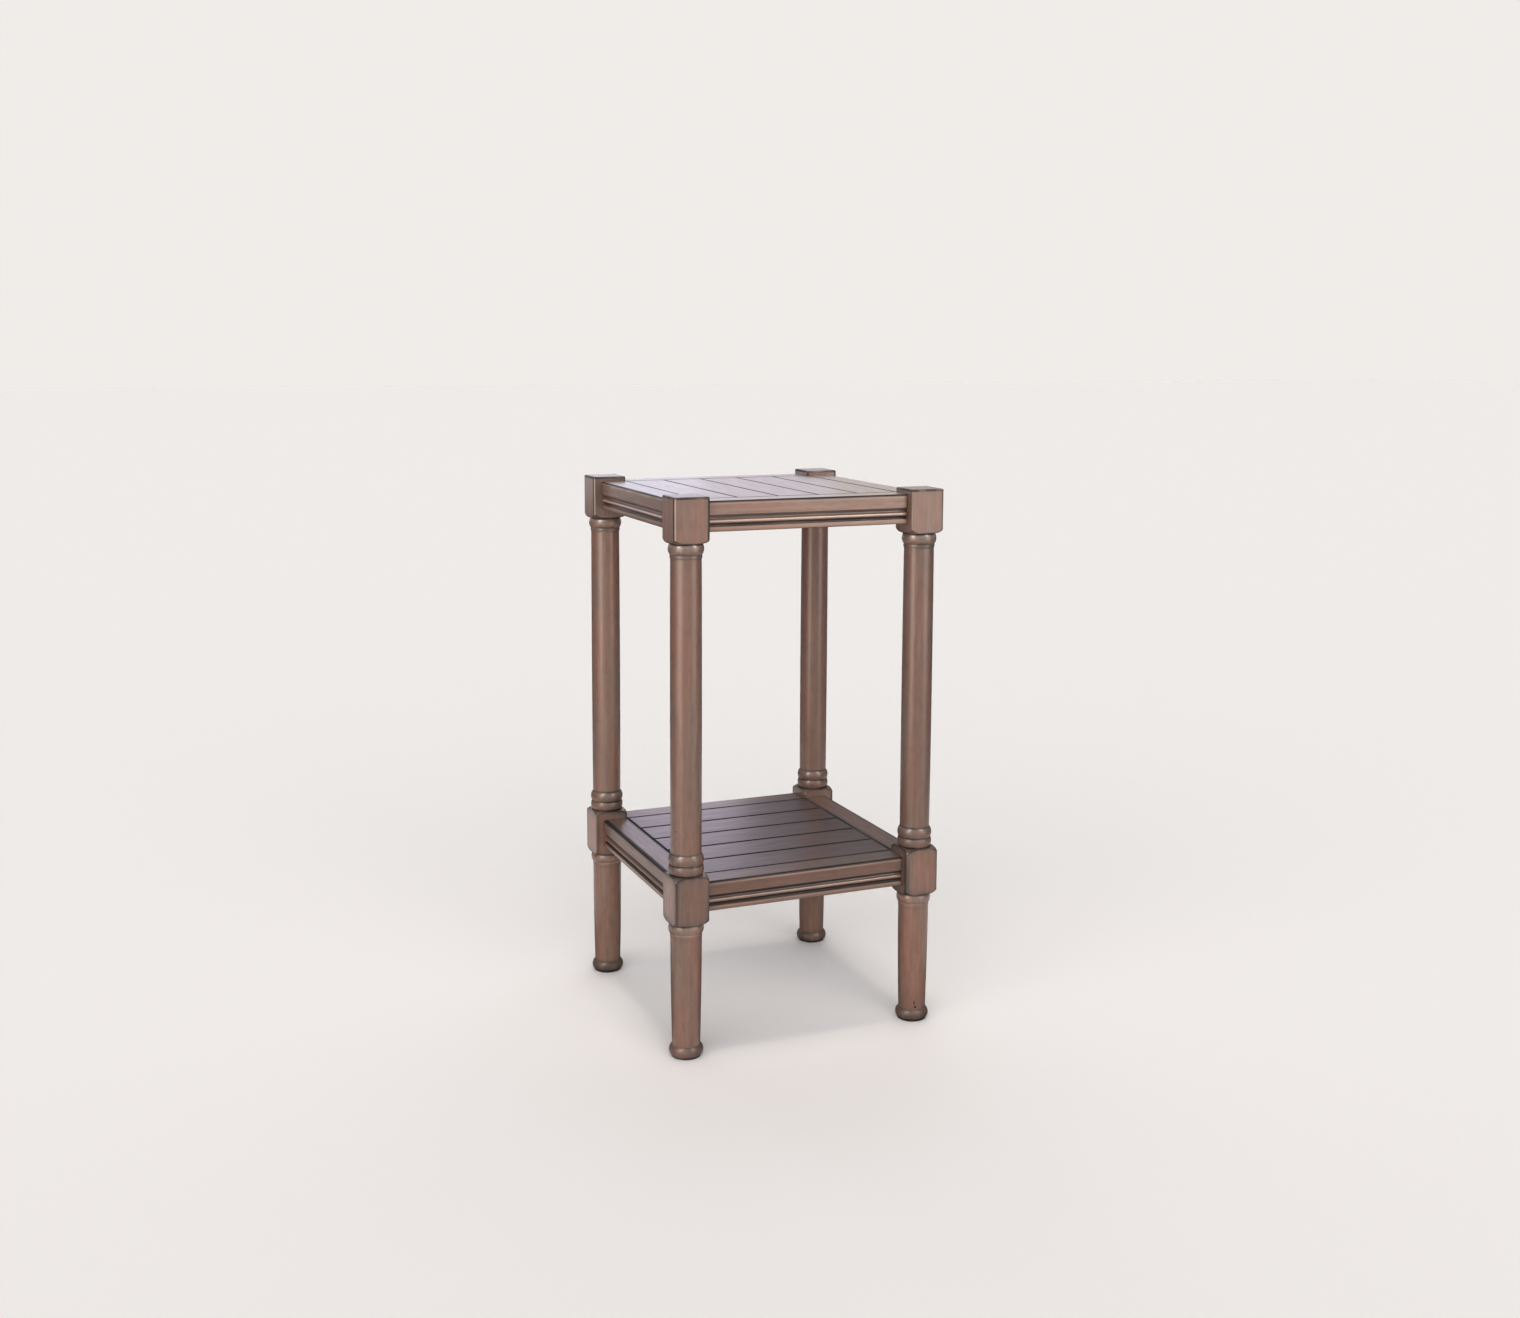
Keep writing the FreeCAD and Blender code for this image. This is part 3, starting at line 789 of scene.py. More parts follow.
@dataclass
class TurnedPost:
    """One post: foot, tapered leg, collars, square blocks, beads and column, in one piece."""

    sizes: PackedSizes
    corner: Corner
    looks: PostLooks
    # Heights along the post, and depths below the faces of its square
    arris: float = 2.0 * MM
    turned_ease: float = 0.4 * MM
    shoulder_height: float = 7.5 * MM
    shoulder_depth: float = 1.6 * MM
    block_drop: float = 13.5 * MM
    lower_block_rise: float = 11.5 * MM
    crevice_height: float = 1.2 * MM
    crevice_depth: float = 3.0 * MM
    collar_height: float = 14.4 * MM
    neck_height: float = 5.0 * MM
    neck_depth: float = 2.9 * MM
    lower_bead_height: float = 13.0 * MM
    upper_bead_height: float = 14.8 * MM
    bead_depth: float = 0.5 * MM
    valley_depth: float = 2.1 * MM
    column_end_depth: float = 3.7 * MM
    column_middle_depth: float = 3.3 * MM
    leg_top_depth: float = 3.2 * MM
    leg_middle_depth: float = 3.9 * MM
    ankle_depth: float = 5.4 * MM
    foot_height: float = 14.0 * MM
    foot_bulge_depth: float = 1.1 * MM
    foot_bulge_share: float = 0.42
    foot_base_depth: float = 3.2 * MM
    # Where the rings lie: from the ends of a block's faces and of a shaft, and on the end of the post
    block_margins: tuple[float, ...] = (0.35 * MM, 1.0 * MM, 1.8 * MM, 2.8 * MM, 4.2 * MM)
    shaft_margins: tuple[float, ...] = (0.0, 1.0 * MM, 2.2 * MM, 4.0 * MM, 8.0 * MM, 16.0 * MM)
    end_shares: tuple[float, ...] = (0.97, 0.93, 0.88, 0.80, 0.65, 0.4, 0.2)
    # Glaze: on the borders of a block's faces and its shoulders, and in and beside the turned lines
    top_border: float = 0.15
    lower_border: float = 0.48
    arris_border: tuple[float, float] = (2.0 * MM, 5.0 * MM)
    end_line: tuple[float, float] = (0.3 * MM, 1.1 * MM)
    end_border: tuple[float, float] = (1.5 * MM, 7.0 * MM)
    lower_shoulder: tuple[float, float] = (0.40, 0.35)
    upper_shoulder: tuple[float, float] = (0.42, 0.55)
    bead_glaze: float = 0.37
    collar_glaze: float = 0.20
    foot_glaze: float = 0.50
    shaft_glaze: float = 0.03
    neck_shares: tuple[float, ...] = (0.35, 0.30, 0.45, 0.45, 0.60, 0.60)
    collar_ends: tuple[float, float] = (0.65, 0.80)
    foot_ends: tuple[float, float] = (1.0, 0.35)
    line_reach: float = 2.4 * MM
    collar_reach: float = 2.0 * MM
    bead_reach: float = 1.9 * MM
    # Glaze at the end of the post: where the line on its rounded rim lies and its reach, and the
    # least on the end, how much more there is at its rim, and its reach
    rim_line: tuple[float, float] = (0.4 * MM, 1.2 * MM)
    end_glaze: tuple[float, float, float] = (0.15, 0.6, 2.0 * MM)
    # Where it is rubbed pale, which on the arrises of the top block and on the crests of the beads is partly
    # a painted highlight:
    # how far from an arris and how fully, how much less glaze it then keeps, how far the rubbing of a bead
    # reaches from its fullest part, how strong it is on the beads of the collars and where it lies on their
    # lower edges, and how strongly all of it shows
    rubbed_width: float = 1.3 * MM
    rubbed_gain: float = 1.5
    rubbed_off: float = 0.95
    full_reach: float = 0.5 * MM
    collar_rub: float = 0.15
    edge_line: tuple[float, float] = (1.0 * MM, 1.1 * MM)
    rub_strength: float = 0.8
    # The lacquer is thinner than on the shafts where these are below 0.
    bead_gloss: float = -0.6
    foot_gloss: float = -1.8
    end_gloss: float = -0.3
    tone_blend: float = 4 * MM
    columns: PostColumns = field(init=False)
    line_glaze: dict[bool, np.ndarray] = field(init=False)
    line_rub: dict[bool, np.ndarray] = field(init=False)
    arris_reach: np.ndarray = field(init=False)
    rows: list = field(default_factory=list)

    def __post_init__(self) -> None:
        """Sets out the lines that run up the post, and the wear of the arris that each is near."""
        self.columns = PostColumns(self.sizes.square / 2, self.arris)
        quadrant = np.floor((self.columns.angles % (2 * math.pi)) / QUARTER).astype(int) % 4
        is_past = self.columns.angles % QUARTER > QUARTER / 2
        wear = [astuple(self.looks.wear[(place + self.corner.value) % 4]) for place in range(4)]
        values = np.array(wear)[quadrant].T
        before, past, lower_before, lower_past, rub, self.arris_reach = values
        self.line_glaze = {
            True: np.where(is_past, past, before),
            False: np.where(is_past, lower_past, lower_before),
        }
        self.line_rub = {True: rub, False: np.zeros_like(rub)}

    def radius(self, depth: float) -> float:
        """The radius of a part that lies this deep below the faces of the square."""
        return self.sizes.square / 2 - depth

    def ring(
        self, height: Amount, radius: Amount, glaze: Amount = 0, rub: Amount = 0, gloss: Amount = 0
    ) -> None:
        """Adds a ring. Each value is one number or one for each line up the post."""
        values, shape = (height, radius, glaze, rub, gloss), self.columns.angles.shape
        self.rows.append([np.broadcast_to(np.asarray(value, float), shape) for value in values])

    def curve(self, points: tuple, count: int, glaze: float, rub: float, gloss: float) -> int:
        """Adds the rings of a curved stretch.

        Args:
            points: Radius and height of its start, which is already there, a middle point and its end.
            count: How many rings it gets.
            glaze: The glaze all over it.
            rub: How far its fullest part is rubbed.
            gloss: How much lacquer built up on it.

        Returns:
            The number of its first ring.
        """
        start = len(self.rows)
        arc = arc_through(*points, count)
        fullest = arc[:, 0].max()
        # The fullest part is rubbed pale, partly a painted highlight on the crest.
        for radius, height in arc[1:]:
            self.ring(height, radius, glaze, rub * fade(fullest - radius, self.full_reach), gloss)
        return start

    def shade_ends(self, start: int, low_glaze: float, high_glaze: float, reach: float) -> None:
        """Darkens a stretch of rings towards its two ends.

        Args:
            start: The number of its first ring.
            low_glaze: The glaze at its lower end.
            high_glaze: The glaze at its upper end.
            reach: How far each reaches.
        """
        low, high = self.rows[start][0].min(), self.rows[-1][0].max()
        for row in self.rows[start:]:
            ends = np.maximum(low_glaze * fade(row[0] - low, reach), high_glaze * fade(high - row[0], reach))
            row[2] = np.maximum(row[2], ends)

    def shoulder(self, steps: int = 6) -> tuple[np.ndarray, np.ndarray]:
        """A turned shoulder at each line, from its neck to where it meets the block.

        Args:
            steps: How many steps it takes.

        Returns:
            Radii and rises, each with a row for each step.
        """
        neck, corner = self.radius(self.shoulder_depth), self.sizes.square / 2 * math.sqrt(2)
        share = math.sqrt(0.5)
        middle = (neck + (corner - neck) * share, self.shoulder_height * (1 - share))
        points = arc_through((neck, 0), middle, (corner, self.shoulder_height), 200)
        outline = self.columns.outline(0)
        radii = np.array([neck + (outline - neck) * step / steps for step in range(steps + 1)])
        return radii, np.interp(radii, points[:, 0], points[:, 1])

    def block_shades(
        self, ends: tuple[np.ndarray, np.ndarray], is_top: bool
    ) -> tuple[np.ndarray, np.ndarray]:
        """Glaze and rub on a block's face.

        Args:
            ends: How far each point lies above the block's lower edge and below its upper one.
            is_top: Whether the block ends the post.

        Returns:
            The glaze and the rub.
        """
        arris, rub = self.columns.arris_distance, self.line_rub[is_top]
        border = self.top_border if is_top else self.lower_border
        # On the top block the arrises are rubbed pale, partly a painted highlight on their rounding.
        worn = rub * np.clip(self.rubbed_gain * fade(arris, self.rubbed_width), 0, 1)
        outer = self.rubbed_width + self.turned_ease * rub
        glaze = self.line_glaze[is_top] * fade(np.maximum(arris - outer, 0), self.arris_reach)
        inset, reach = self.arris_border
        glaze = np.maximum(glaze, border * fade(arris - inset, reach))
        for distance in ends:
            for strength, (inset, reach) in ((1, self.end_line), (border, self.end_border)):
                glaze = np.maximum(glaze, strength * fade(distance - inset, reach))
        return glaze * (1 - self.rubbed_off * worn), worn

    def block(self, low: float, high: float, is_top: bool) -> None:
        """Adds a square block with its shoulders.

        Args:
            low: The height of its lower shoulder's neck.
            high: The height of its upper shoulder's neck, or of the post's end.
            is_top: Whether it ends the post.
        """
        radii, rises = self.shoulder()
        steps = len(radii) - 1
        cubes = (np.arange(steps + 1) / steps) ** 3
        least, more = self.lower_shoulder
        for radius, rise, cube in zip(radii, rises, cubes):
            self.ring(low + rise, radius, least + more * cube)
        bottom = low + rises[-1]
        top = np.full_like(bottom, high - self.arris) if is_top else high - rises[-1]
        stations = [bottom + margin for margin in self.block_margins]
        first, last = stations[-1], top - self.block_margins[-1]
        stations += [first + (last - first) * step / 7 for step in range(1, 7)]
        stations += [top - margin for margin in reversed(self.block_margins)]
        for station in stations:
            shades = self.block_shades((station - bottom, top - station), is_top)
            self.ring(station, self.columns.outline(0), *shades)
        if is_top:
            self.end_face(high)
            return
        least, more = self.upper_shoulder
        for radius, rise, cube in zip(radii[::-1], rises[::-1], cubes[::-1]):
            self.ring(high - rise, radius, least + more * cube)

    def end_face(self, height: float, steps: int = 6) -> None:
        """Rounds the post's upper edge and closes its end.

        Args:
            height: The height of the end.
            steps: How many steps the rounding takes.
        """
        for step in range(steps + 1):
            angle = QUARTER * step / steps
            inset = self.arris * (1 - math.cos(angle))
            level = height - self.arris + self.arris * math.sin(angle)
            self.ring(level, self.columns.outline(inset), fade(inset - self.rim_line[0], self.rim_line[1]))
        rim = self.columns.outline(self.arris)
        least, more, reach = self.end_glaze
        for share in self.end_shares:
            inset = (1 - share) * self.sizes.square / 2
            self.ring(height, rim * share, least + more * fade(inset, reach))

    def collar(self, block_low: float, glaze: float, edge_rub: float) -> None:
        """Adds the neck ring, the bead and the crevice under a block.

        Args:
            block_low: The height of the block's lower neck.
            glaze: The share of the usual glaze in its lines.
            edge_rub: How far the bead's lower edge is rubbed.
        """
        top = block_low - self.crevice_height
        low = top - self.collar_height
        base = low - self.neck_height
        neck, ease = self.radius(self.neck_depth), self.turned_ease
        heights = (base, base + ease / 2, base + ease * 2, low - ease * 3, low - ease, low)
        radii = (self.rows[-1][1], neck - ease / 2, neck, neck, neck - ease / 2, neck - ease / 2)
        for height, radius, share in zip(heights, radii, self.neck_shares):
            self.ring(height, radius, share * glaze, edge_rub * 0.5 * (height == low))
        middle = (self.radius(self.bead_depth), low + self.collar_height / 2)
        points = ((neck, low), middle, (self.radius(self.valley_depth), top))
        start = self.curve(points, 16, self.collar_glaze, self.collar_rub, 1.0)
        low_glaze, high_glaze = self.collar_ends
        self.shade_ends(start, low_glaze * glaze, high_glaze, self.collar_reach)
        inset, reach = self.edge_line
        for row in self.rows[start:]:
            edge = edge_rub * fade(row[0] - low - inset, reach)
            row[2], row[3] = row[2] * (1 - edge), np.maximum(row[3], edge)
        for height in (top + ease / 2, block_low):
            self.ring(height, self.radius(self.crevice_depth), 1.0)

    def foot(self) -> None:
        """Adds the foot's ring up to the ankle."""
        base, low, ease = self.radius(self.foot_base_depth), self.sizes.glide_top, self.turned_ease
        ankle = (self.radius(self.ankle_depth), low + self.foot_height)
        bulge = (self.radius(self.foot_bulge_depth), low + self.foot_height * self.foot_bulge_share)
        self.ring(low, base * 0.9, 1.0)
        self.ring(low, base - ease, 1.0)
        self.ring(low + ease / 2, base, 0.9)
        start = self.curve(((base, low + ease / 2), bulge, ankle), 18, self.foot_glaze, 0.0, self.foot_gloss)
        self.shade_ends(start - 1, *self.foot_ends, self.line_reach)

    def shaft(self, first: tuple, middle_depth: float, last: tuple) -> None:
        """Adds a long, slightly swelling stretch.

        Args:
            first: Depth, height and glaze of its lower end.
            middle_depth: The depth half way up.
            last: Depth, height and glaze of its upper end.
        """
        start = len(self.rows)
        depths, levels = (first[0], middle_depth, last[0]), (first[1], (first[1] + last[1]) / 2, last[1])
        terms = np.polyfit(levels, [self.radius(depth) for depth in depths], 2)
        margins = np.array(self.shaft_margins)
        inner = np.linspace(first[1] + margins[-1], last[1] - margins[-1], 18)[1:-1]
        for height in np.concatenate([first[1] + margins, inner, last[1] - margins[::-1]]):
            self.ring(height, np.polyval(terms, height), self.shaft_glaze)
        self.shade_ends(start, first[2], last[2], self.line_reach)

    def beads(self, base: float) -> float:
        """Adds the two beads at the foot of the column.

        Args:
            base: The height of the lower one's base.

        Returns:
            The height of the column's lower end.
        """
        for height, end_depth, high_glaze in (
            (self.lower_bead_height, self.valley_depth, 0.95),
            (self.upper_bead_height, self.column_end_depth, 0.75),
        ):
            self.ring(base, self.rows[-1][1].max(), 0.9)
            middle = (self.radius(self.bead_depth), base + height / 2)
            points = ((self.radius(self.valley_depth), base), middle, (self.radius(end_depth), base + height))
            start = self.curve(points, 16, self.bead_glaze, 0.0, self.bead_gloss)
            self.shade_ends(start - 1, 1.0, high_glaze, self.bead_reach)
            base += height
        return base

    def build_rows(self) -> None:
        """Adds every ring from the foot to the top."""
        sizes = self.sizes
        edge_depth = sizes.board_thickness + sizes.rail_height
        lower_low = sizes.shelf_surface - edge_depth - self.block_drop
        lower_high = sizes.shelf_surface + self.lower_block_rise
        top_low = sizes.top_surface - edge_depth - self.block_drop
        collar = self.crevice_height + self.collar_height + self.neck_height
        ankle = (self.ankle_depth, sizes.glide_top + self.foot_height, 0.40)
        self.foot()
        self.shaft(ankle, self.leg_middle_depth, (self.leg_top_depth, lower_low - collar, 0.15))
        self.collar(lower_low, 0.4, 0.75)
        self.block(lower_low, lower_high, False)
        base = lower_high + self.crevice_height
        for height in (lower_high, base - self.turned_ease / 2):
            self.ring(height, self.radius(self.crevice_depth), 1.0)
        column_low = (self.column_end_depth, self.beads(base), 0.75)
        self.shaft(column_low, self.column_middle_depth, (self.column_end_depth, top_low - collar, 0.45))
        self.collar(top_low, 1.0, 0.0)
        self.block(top_low, sizes.height, True)

    def tones(self, heights: np.ndarray) -> np.ndarray:
        """The shade of each point: the tone of the column and the leg, with painted light and shade on each
        face of the blocks.

        Args:
            heights: The height of each point.

        Returns:
            A shade for each point, 1 where it is the usual one.
        """
        angles = self.columns.angles + QUARTER * self.corner.value
        face = np.floor(((angles + math.pi / 4) % (2 * math.pi)) / QUARTER).astype(int) % 4
        depth = self.sizes.board_thickness + self.sizes.rail_height + self.block_drop
        is_leg = heights < self.sizes.shelf_surface - depth
        shades = np.where(is_leg, self.looks.leg_tone, self.looks.column_tone)
        spans = (
            (self.sizes.top_surface - depth, self.sizes.height + METRE),
            (self.sizes.shelf_surface - depth, self.sizes.shelf_surface + self.lower_block_rise),
        )
        # Each face of a block takes its painted light or shade.
        for (low, high), tones in zip(spans, self.looks.block_tones):
            inside = np.clip(np.minimum(heights - low, high - heights) / self.tone_blend, 0, 1)
            shades += inside * (np.array(tones)[face] - shades)
        return shades

    def build(self, material: bpy.types.Material, timber: Timber) -> None:
        """Builds the post.

        Args:
            material: Its finish.
            timber: Where its wood comes from.
        """
        self.build_rows()
        heights, radii, glaze, rub, gloss = np.array(self.rows).transpose(1, 0, 2)
        angles = self.columns.angles
        centre = self.sizes.half_width - self.sizes.square / 2
        across, back = radii * np.cos(angles) - centre, radii * np.sin(angles) - centre
        places = np.stack([across, back, heights], axis=-1)
        places = quarter_turned(places, self.corner.value)
        offset, tone = timber.pick()
        middle = places.reshape(-1, 3).mean(axis=0)
        grain = np.stack([places[..., 2], places[..., 0] - middle[0], places[..., 1] - middle[1]], axis=-1)
        rounded = np.clip((heights - self.sizes.height + self.arris) / self.arris, 0, 1)
        end_gloss = self.end_gloss * rounded**3
        name = self.corner.name.lower()
        skin = Skin(places, glaze, self.rub_strength * rub, end_gloss + gloss)
        mesh = skin.mesh("turned_post_" + name, grain + offset, tone * self.tones(heights))
        add_piece("turned_post_" + name, mesh, material, ["leg_" + name])


@dataclass
class Glide:
    """The thin nylon pad under a foot, with its pin."""

    corner: Corner
    rim_ease: float = 0.7 * MM
    rim_steps: int = 4
    pin_radius: float = 1.6 * MM
    sides: int = 48

    def build(self, material: bpy.types.Material) -> None:
        """Builds the glide.

        Args:
            material: Its finish.
        """
        name = self.corner.name.lower()
        low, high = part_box("glide_" + name)
        centre, top = (low + high) / 2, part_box("leg_" + name)[0].z
        radius, ease = (high.x - low.x) / 2, self.rim_ease
        outline = []
        for step in range(self.rim_steps + 1):
            turn = QUARTER * step / self.rim_steps
            outline.append((radius - ease * (1 - math.sin(turn)), low.z + ease * (1 - math.cos(turn))))
        outline += [(radius, top), (self.pin_radius, top), (self.pin_radius, high.z)]
        places = lathed(outline, self.sides) + (centre.x, centre.y, 0)
        blank = np.zeros(places.shape[:2])
        mesh = Skin(places, blank, blank).mesh("glide_pad_" + name, places, 1.0)
        add_piece("glide_pad_" + name, mesh, material, ["glide_" + name])


@dataclass(frozen=True)
class GlazeLine:
    """A line along a board where the dark glaze stays, or where the edge is rubbed pale."""

    depth: float
    height: float
    strength: float
    reach: float

    def on(self, points: np.ndarray) -> np.ndarray:
        """The glaze or rub at each point of a section."""
        distance = np.hypot(points[:, 0] - self.depth, points[:, 1] - self.height)
        return self.strength * fade(distance, self.reach)


@dataclass(frozen=True)
class Section:
    """The section of a board or rail: depth behind its outer face and height above its base."""

    points: np.ndarray
    glaze: np.ndarray
    rub: np.ndarray
    build_up: np.ndarray

    @classmethod
    def shaded(
        cls, points: list, dark: list[GlazeLine], pale: list[GlazeLine], ground: float, glossy: GlazeLine
    ) -> "Section":
        """Gives each point its glaze, rub and lacquer.

        Args:
            points: The outline.
            dark: Where glaze stays.
            pale: Where the edge is rubbed pale, on a reed partly a painted highlight.
            ground: The glaze all over.
            glossy: Where lacquer builds up.

        Returns:
            The section.
        """
        outline = np.array(points, float)
        glaze = np.max([np.full(len(outline), ground), *(line.on(outline) for line in dark)], axis=0)
        rub = np.max([line.on(outline) for line in pale], axis=0)
        return cls(outline, glaze, rub, np.clip(glossy.on(outline), 0, 1))


class MeshNodes:
    """Geometry nodes with named inputs. What they make is realised and gets its finish at the end."""

    tree_name: str
    inputs: dict[str, str]

    def __init__(self) -> None:
        """Builds the tree and keeps the identifiers of its inputs."""
        self.tree = bpy.data.node_groups.new(self.tree_name, "GeometryNodeTree")
        sockets = self.tree.interface
        sockets.new_socket("Geometry", in_out="INPUT", socket_type="NodeSocketGeometry")
        self.keys = {
            name: sockets.new_socket(name, in_out="INPUT", socket_type="NodeSocket" + kind).identifier
            for name, kind in self.inputs.items()
        }
        sockets.new_socket("Geometry", in_out="OUTPUT", socket_type="NodeSocketGeometry")
        add = partial(add_node, self.tree)
        given = add("NodeGroupInput", output=None)
        shape = add("GeometryNodeRealizeInstances", {"Geometry": self.wire(add, given)})
        shape = add("GeometryNodeSetMaterial", {"Geometry": shape, "Material": given["Finish"]})
        add("NodeGroupOutput", {"Geometry": shape}, None)

    def wire(self, add: Callable, given: bpy.types.NodeOutputs) -> bpy.types.NodeSocket:
        """Adds the nodes between the inputs and the finish.

        Args:
            add: What adds a node to the tree.
            given: The outputs that give the tree's inputs.

        Returns:
            The output that gives the shape.
        """
        raise NotImplementedError

    def run(self, name: str, base: bpy.types.Mesh, values: dict) -> bpy.types.Mesh:
        """Runs the nodes on a base mesh and keeps the result as a plain, smooth mesh.

        Args:
            name: The new mesh's name.
            base: The mesh that the nodes start from.
            values: The value of each named input.

        Returns:
            The evaluated mesh, with no modifier left on anything.
        """
        carrier = new_object(name + "_base", base)
        modifier = carrier.modifiers.new("nodes", "NODES")
        modifier.node_group = self.tree
        for key, value in values.items():
            modifier[self.keys[key]] = value
        evaluated = carrier.evaluated_get(bpy.context.evaluated_depsgraph_get())
        mesh = bpy.data.meshes.new_from_object(evaluated)
        mesh.name = name
        carrier.modifiers.remove(modifier)
        bpy.data.objects.remove(carrier)
        smooth(mesh)
        return mesh


class SweepNodes(MeshNodes):
    """Runs a section along one side of the table, with its grain and a painted shade at its ends, where it
    meets the posts.
    """

    tree_name = "section_along_side"
    inputs = {
        "Half Length": "Float",
        "Stations": "Int",
        "End Glaze": "Float",
        "End Reach": "Float",
        "Grain Offset": "Vector",
        "Tone": "Float",
        "Turn": "Float",
        "Finish": "Material",
    }

    def wire(self, add: Callable, given: bpy.types.NodeOutputs) -> bpy.types.NodeSocket:
        """Sweeps the section, stores its values and turns it to its side.

        Args:
            add: What adds a node to the tree.
            given: The outputs that give the tree's inputs.

        Returns:
            The output that gives the shape.
        """
        half = given["Half Length"]
        section = add("GeometryNodeMeshToCurve", {"Mesh": given["Geometry"]})
        back = add("Math", (half, -1.0), operation="MULTIPLY")
        ends = {"Start": add("CombineXYZ", (back,)), "End": add("CombineXYZ", (half,))}
        line = add("GeometryNodeCurvePrimitiveLine", ends)
        path = add("GeometryNodeResampleCurve", {"Curve": line, "Count": given["Stations"]})
        shape = add("GeometryNodeCurveToMesh", {"Curve": path, "Profile Curve": section, "Fill Caps": True})
        place = add("GeometryNodeInputPosition")
        grain = add("VectorMath", (place, given["Grain Offset"]), operation="ADD")
        away = add("Math", (add("SeparateXYZ", (place,)),), operation="ABSOLUTE")
        to_end = add("Math", (half, away), operation="SUBTRACT")
        # Painted shade at each end, where the board or rail meets a post
        spans = (to_end, 0.0, given["End Reach"], given["End Glaze"], 0.0)
        end_dark = add("MapRange", spans, interpolation_type="SMOOTHSTEP")
        had = add("GeometryNodeInputNamedAttribute", {"Name": GLAZE}, data_type="FLOAT")
        glaze = add("Math", (had, end_dark), operation="MAXIMUM")
        for name, kind, value in (
            (GRAIN, "FLOAT_VECTOR", grain),
            (GLAZE, "FLOAT", glaze),
            (TONE, "FLOAT", given["Tone"]),
        ):
            stored = {"Geometry": shape, "Name": name, "Value": value}
            shape = add("GeometryNodeStoreNamedAttribute", stored, data_type=kind)
        turn = add("CombineXYZ", {"Z": given["Turn"]})
        return add("GeometryNodeTransform", {"Geometry": shape, "Rotation": turn})


class ScatterNodes(MeshNodes):
    """Sets one fixing at each place, turned to its direction and spun."""

    tree_name = "fixing_at_each_place"
    inputs = {"Places": "Object", "Spin Seed": "Int", "Finish": "Material"}

    def wire(self, add: Callable, given: bpy.types.NodeOutputs) -> bpy.types.NodeSocket:
        """Sets the fixings.

        Args:
            add: What adds a node to the tree.
            given: The outputs that give the tree's inputs.

        Returns:
            The output that gives the shape.
        """
        places = add("GeometryNodeObjectInfo", {"Object": given["Places"]}, "Geometry")
        aim = add("GeometryNodeInputNamedAttribute", {"Name": "direction"}, data_type="FLOAT_VECTOR")
        aimed = add("FunctionNodeAlignRotationToVector", {"Vector": aim}, axis="Z")
        # Inputs 2 and 3 and output 1 are those of the node's float form.
        span = {2: 0.0, 3: 2 * math.pi, "Seed": given["Spin Seed"]}
        angle = add("FunctionNodeRandomValue", span, 1, data_type="FLOAT")
        spin = add("FunctionNodeAxisAngleToRotation", {"Axis": (0, 0, 1), "Angle": angle})
        turns = {"Rotation": aimed, "Rotate By": spin}
        turned = add("FunctionNodeRotateRotation", turns, rotation_space="LOCAL")
        copies = {"Points": places, "Instance": given["Geometry"], "Rotation": turned}
        return add("GeometryNodeInstanceOnPoints", copies)


@dataclass(frozen=True)
class LevelLooks:
    """The stain, the glaze, the wear and the painted light and shade of the top or the shelf."""

    board_finish: str
    edge_finish: str
    # The shade of the planks, darker on the shelf as a painted shade under the top, and the reach and the
    # strength of the glaze in their joints
    plank_tone: float
    joint_reach: float
    joint_glaze: float
    # How far the reeds are rubbed pale, partly a painted highlight, their lacquer, and the glaze left in the
    # grooves beside them
    reed_rub: float
    reed_gloss: float
    quirk_glaze: float
    # Painted light and shade: the shades of the boards and rails that differ from the usual one
    shades: dict[str, float]
    # How far in from the face the glaze of a board's arris is centred, its reach and its strength
    arris_lines: dict[Side, tuple[float, float, float]]
    usual_arris_line: tuple[float, float, float] = (0.8 * MM, 1.6 * MM, 1.1)


@dataclass
class Level:
    """What the pieces of the top or the shelf share: their heights, their looks and their wood."""

    name: str
    sizes: PackedSizes
    surface: float
    turns: int
    plank_ends: tuple[Side, ...]
    looks: LevelLooks
    finishes: dict[str, bpy.types.Material]
    timber: Timber
    plank_count: int = 5


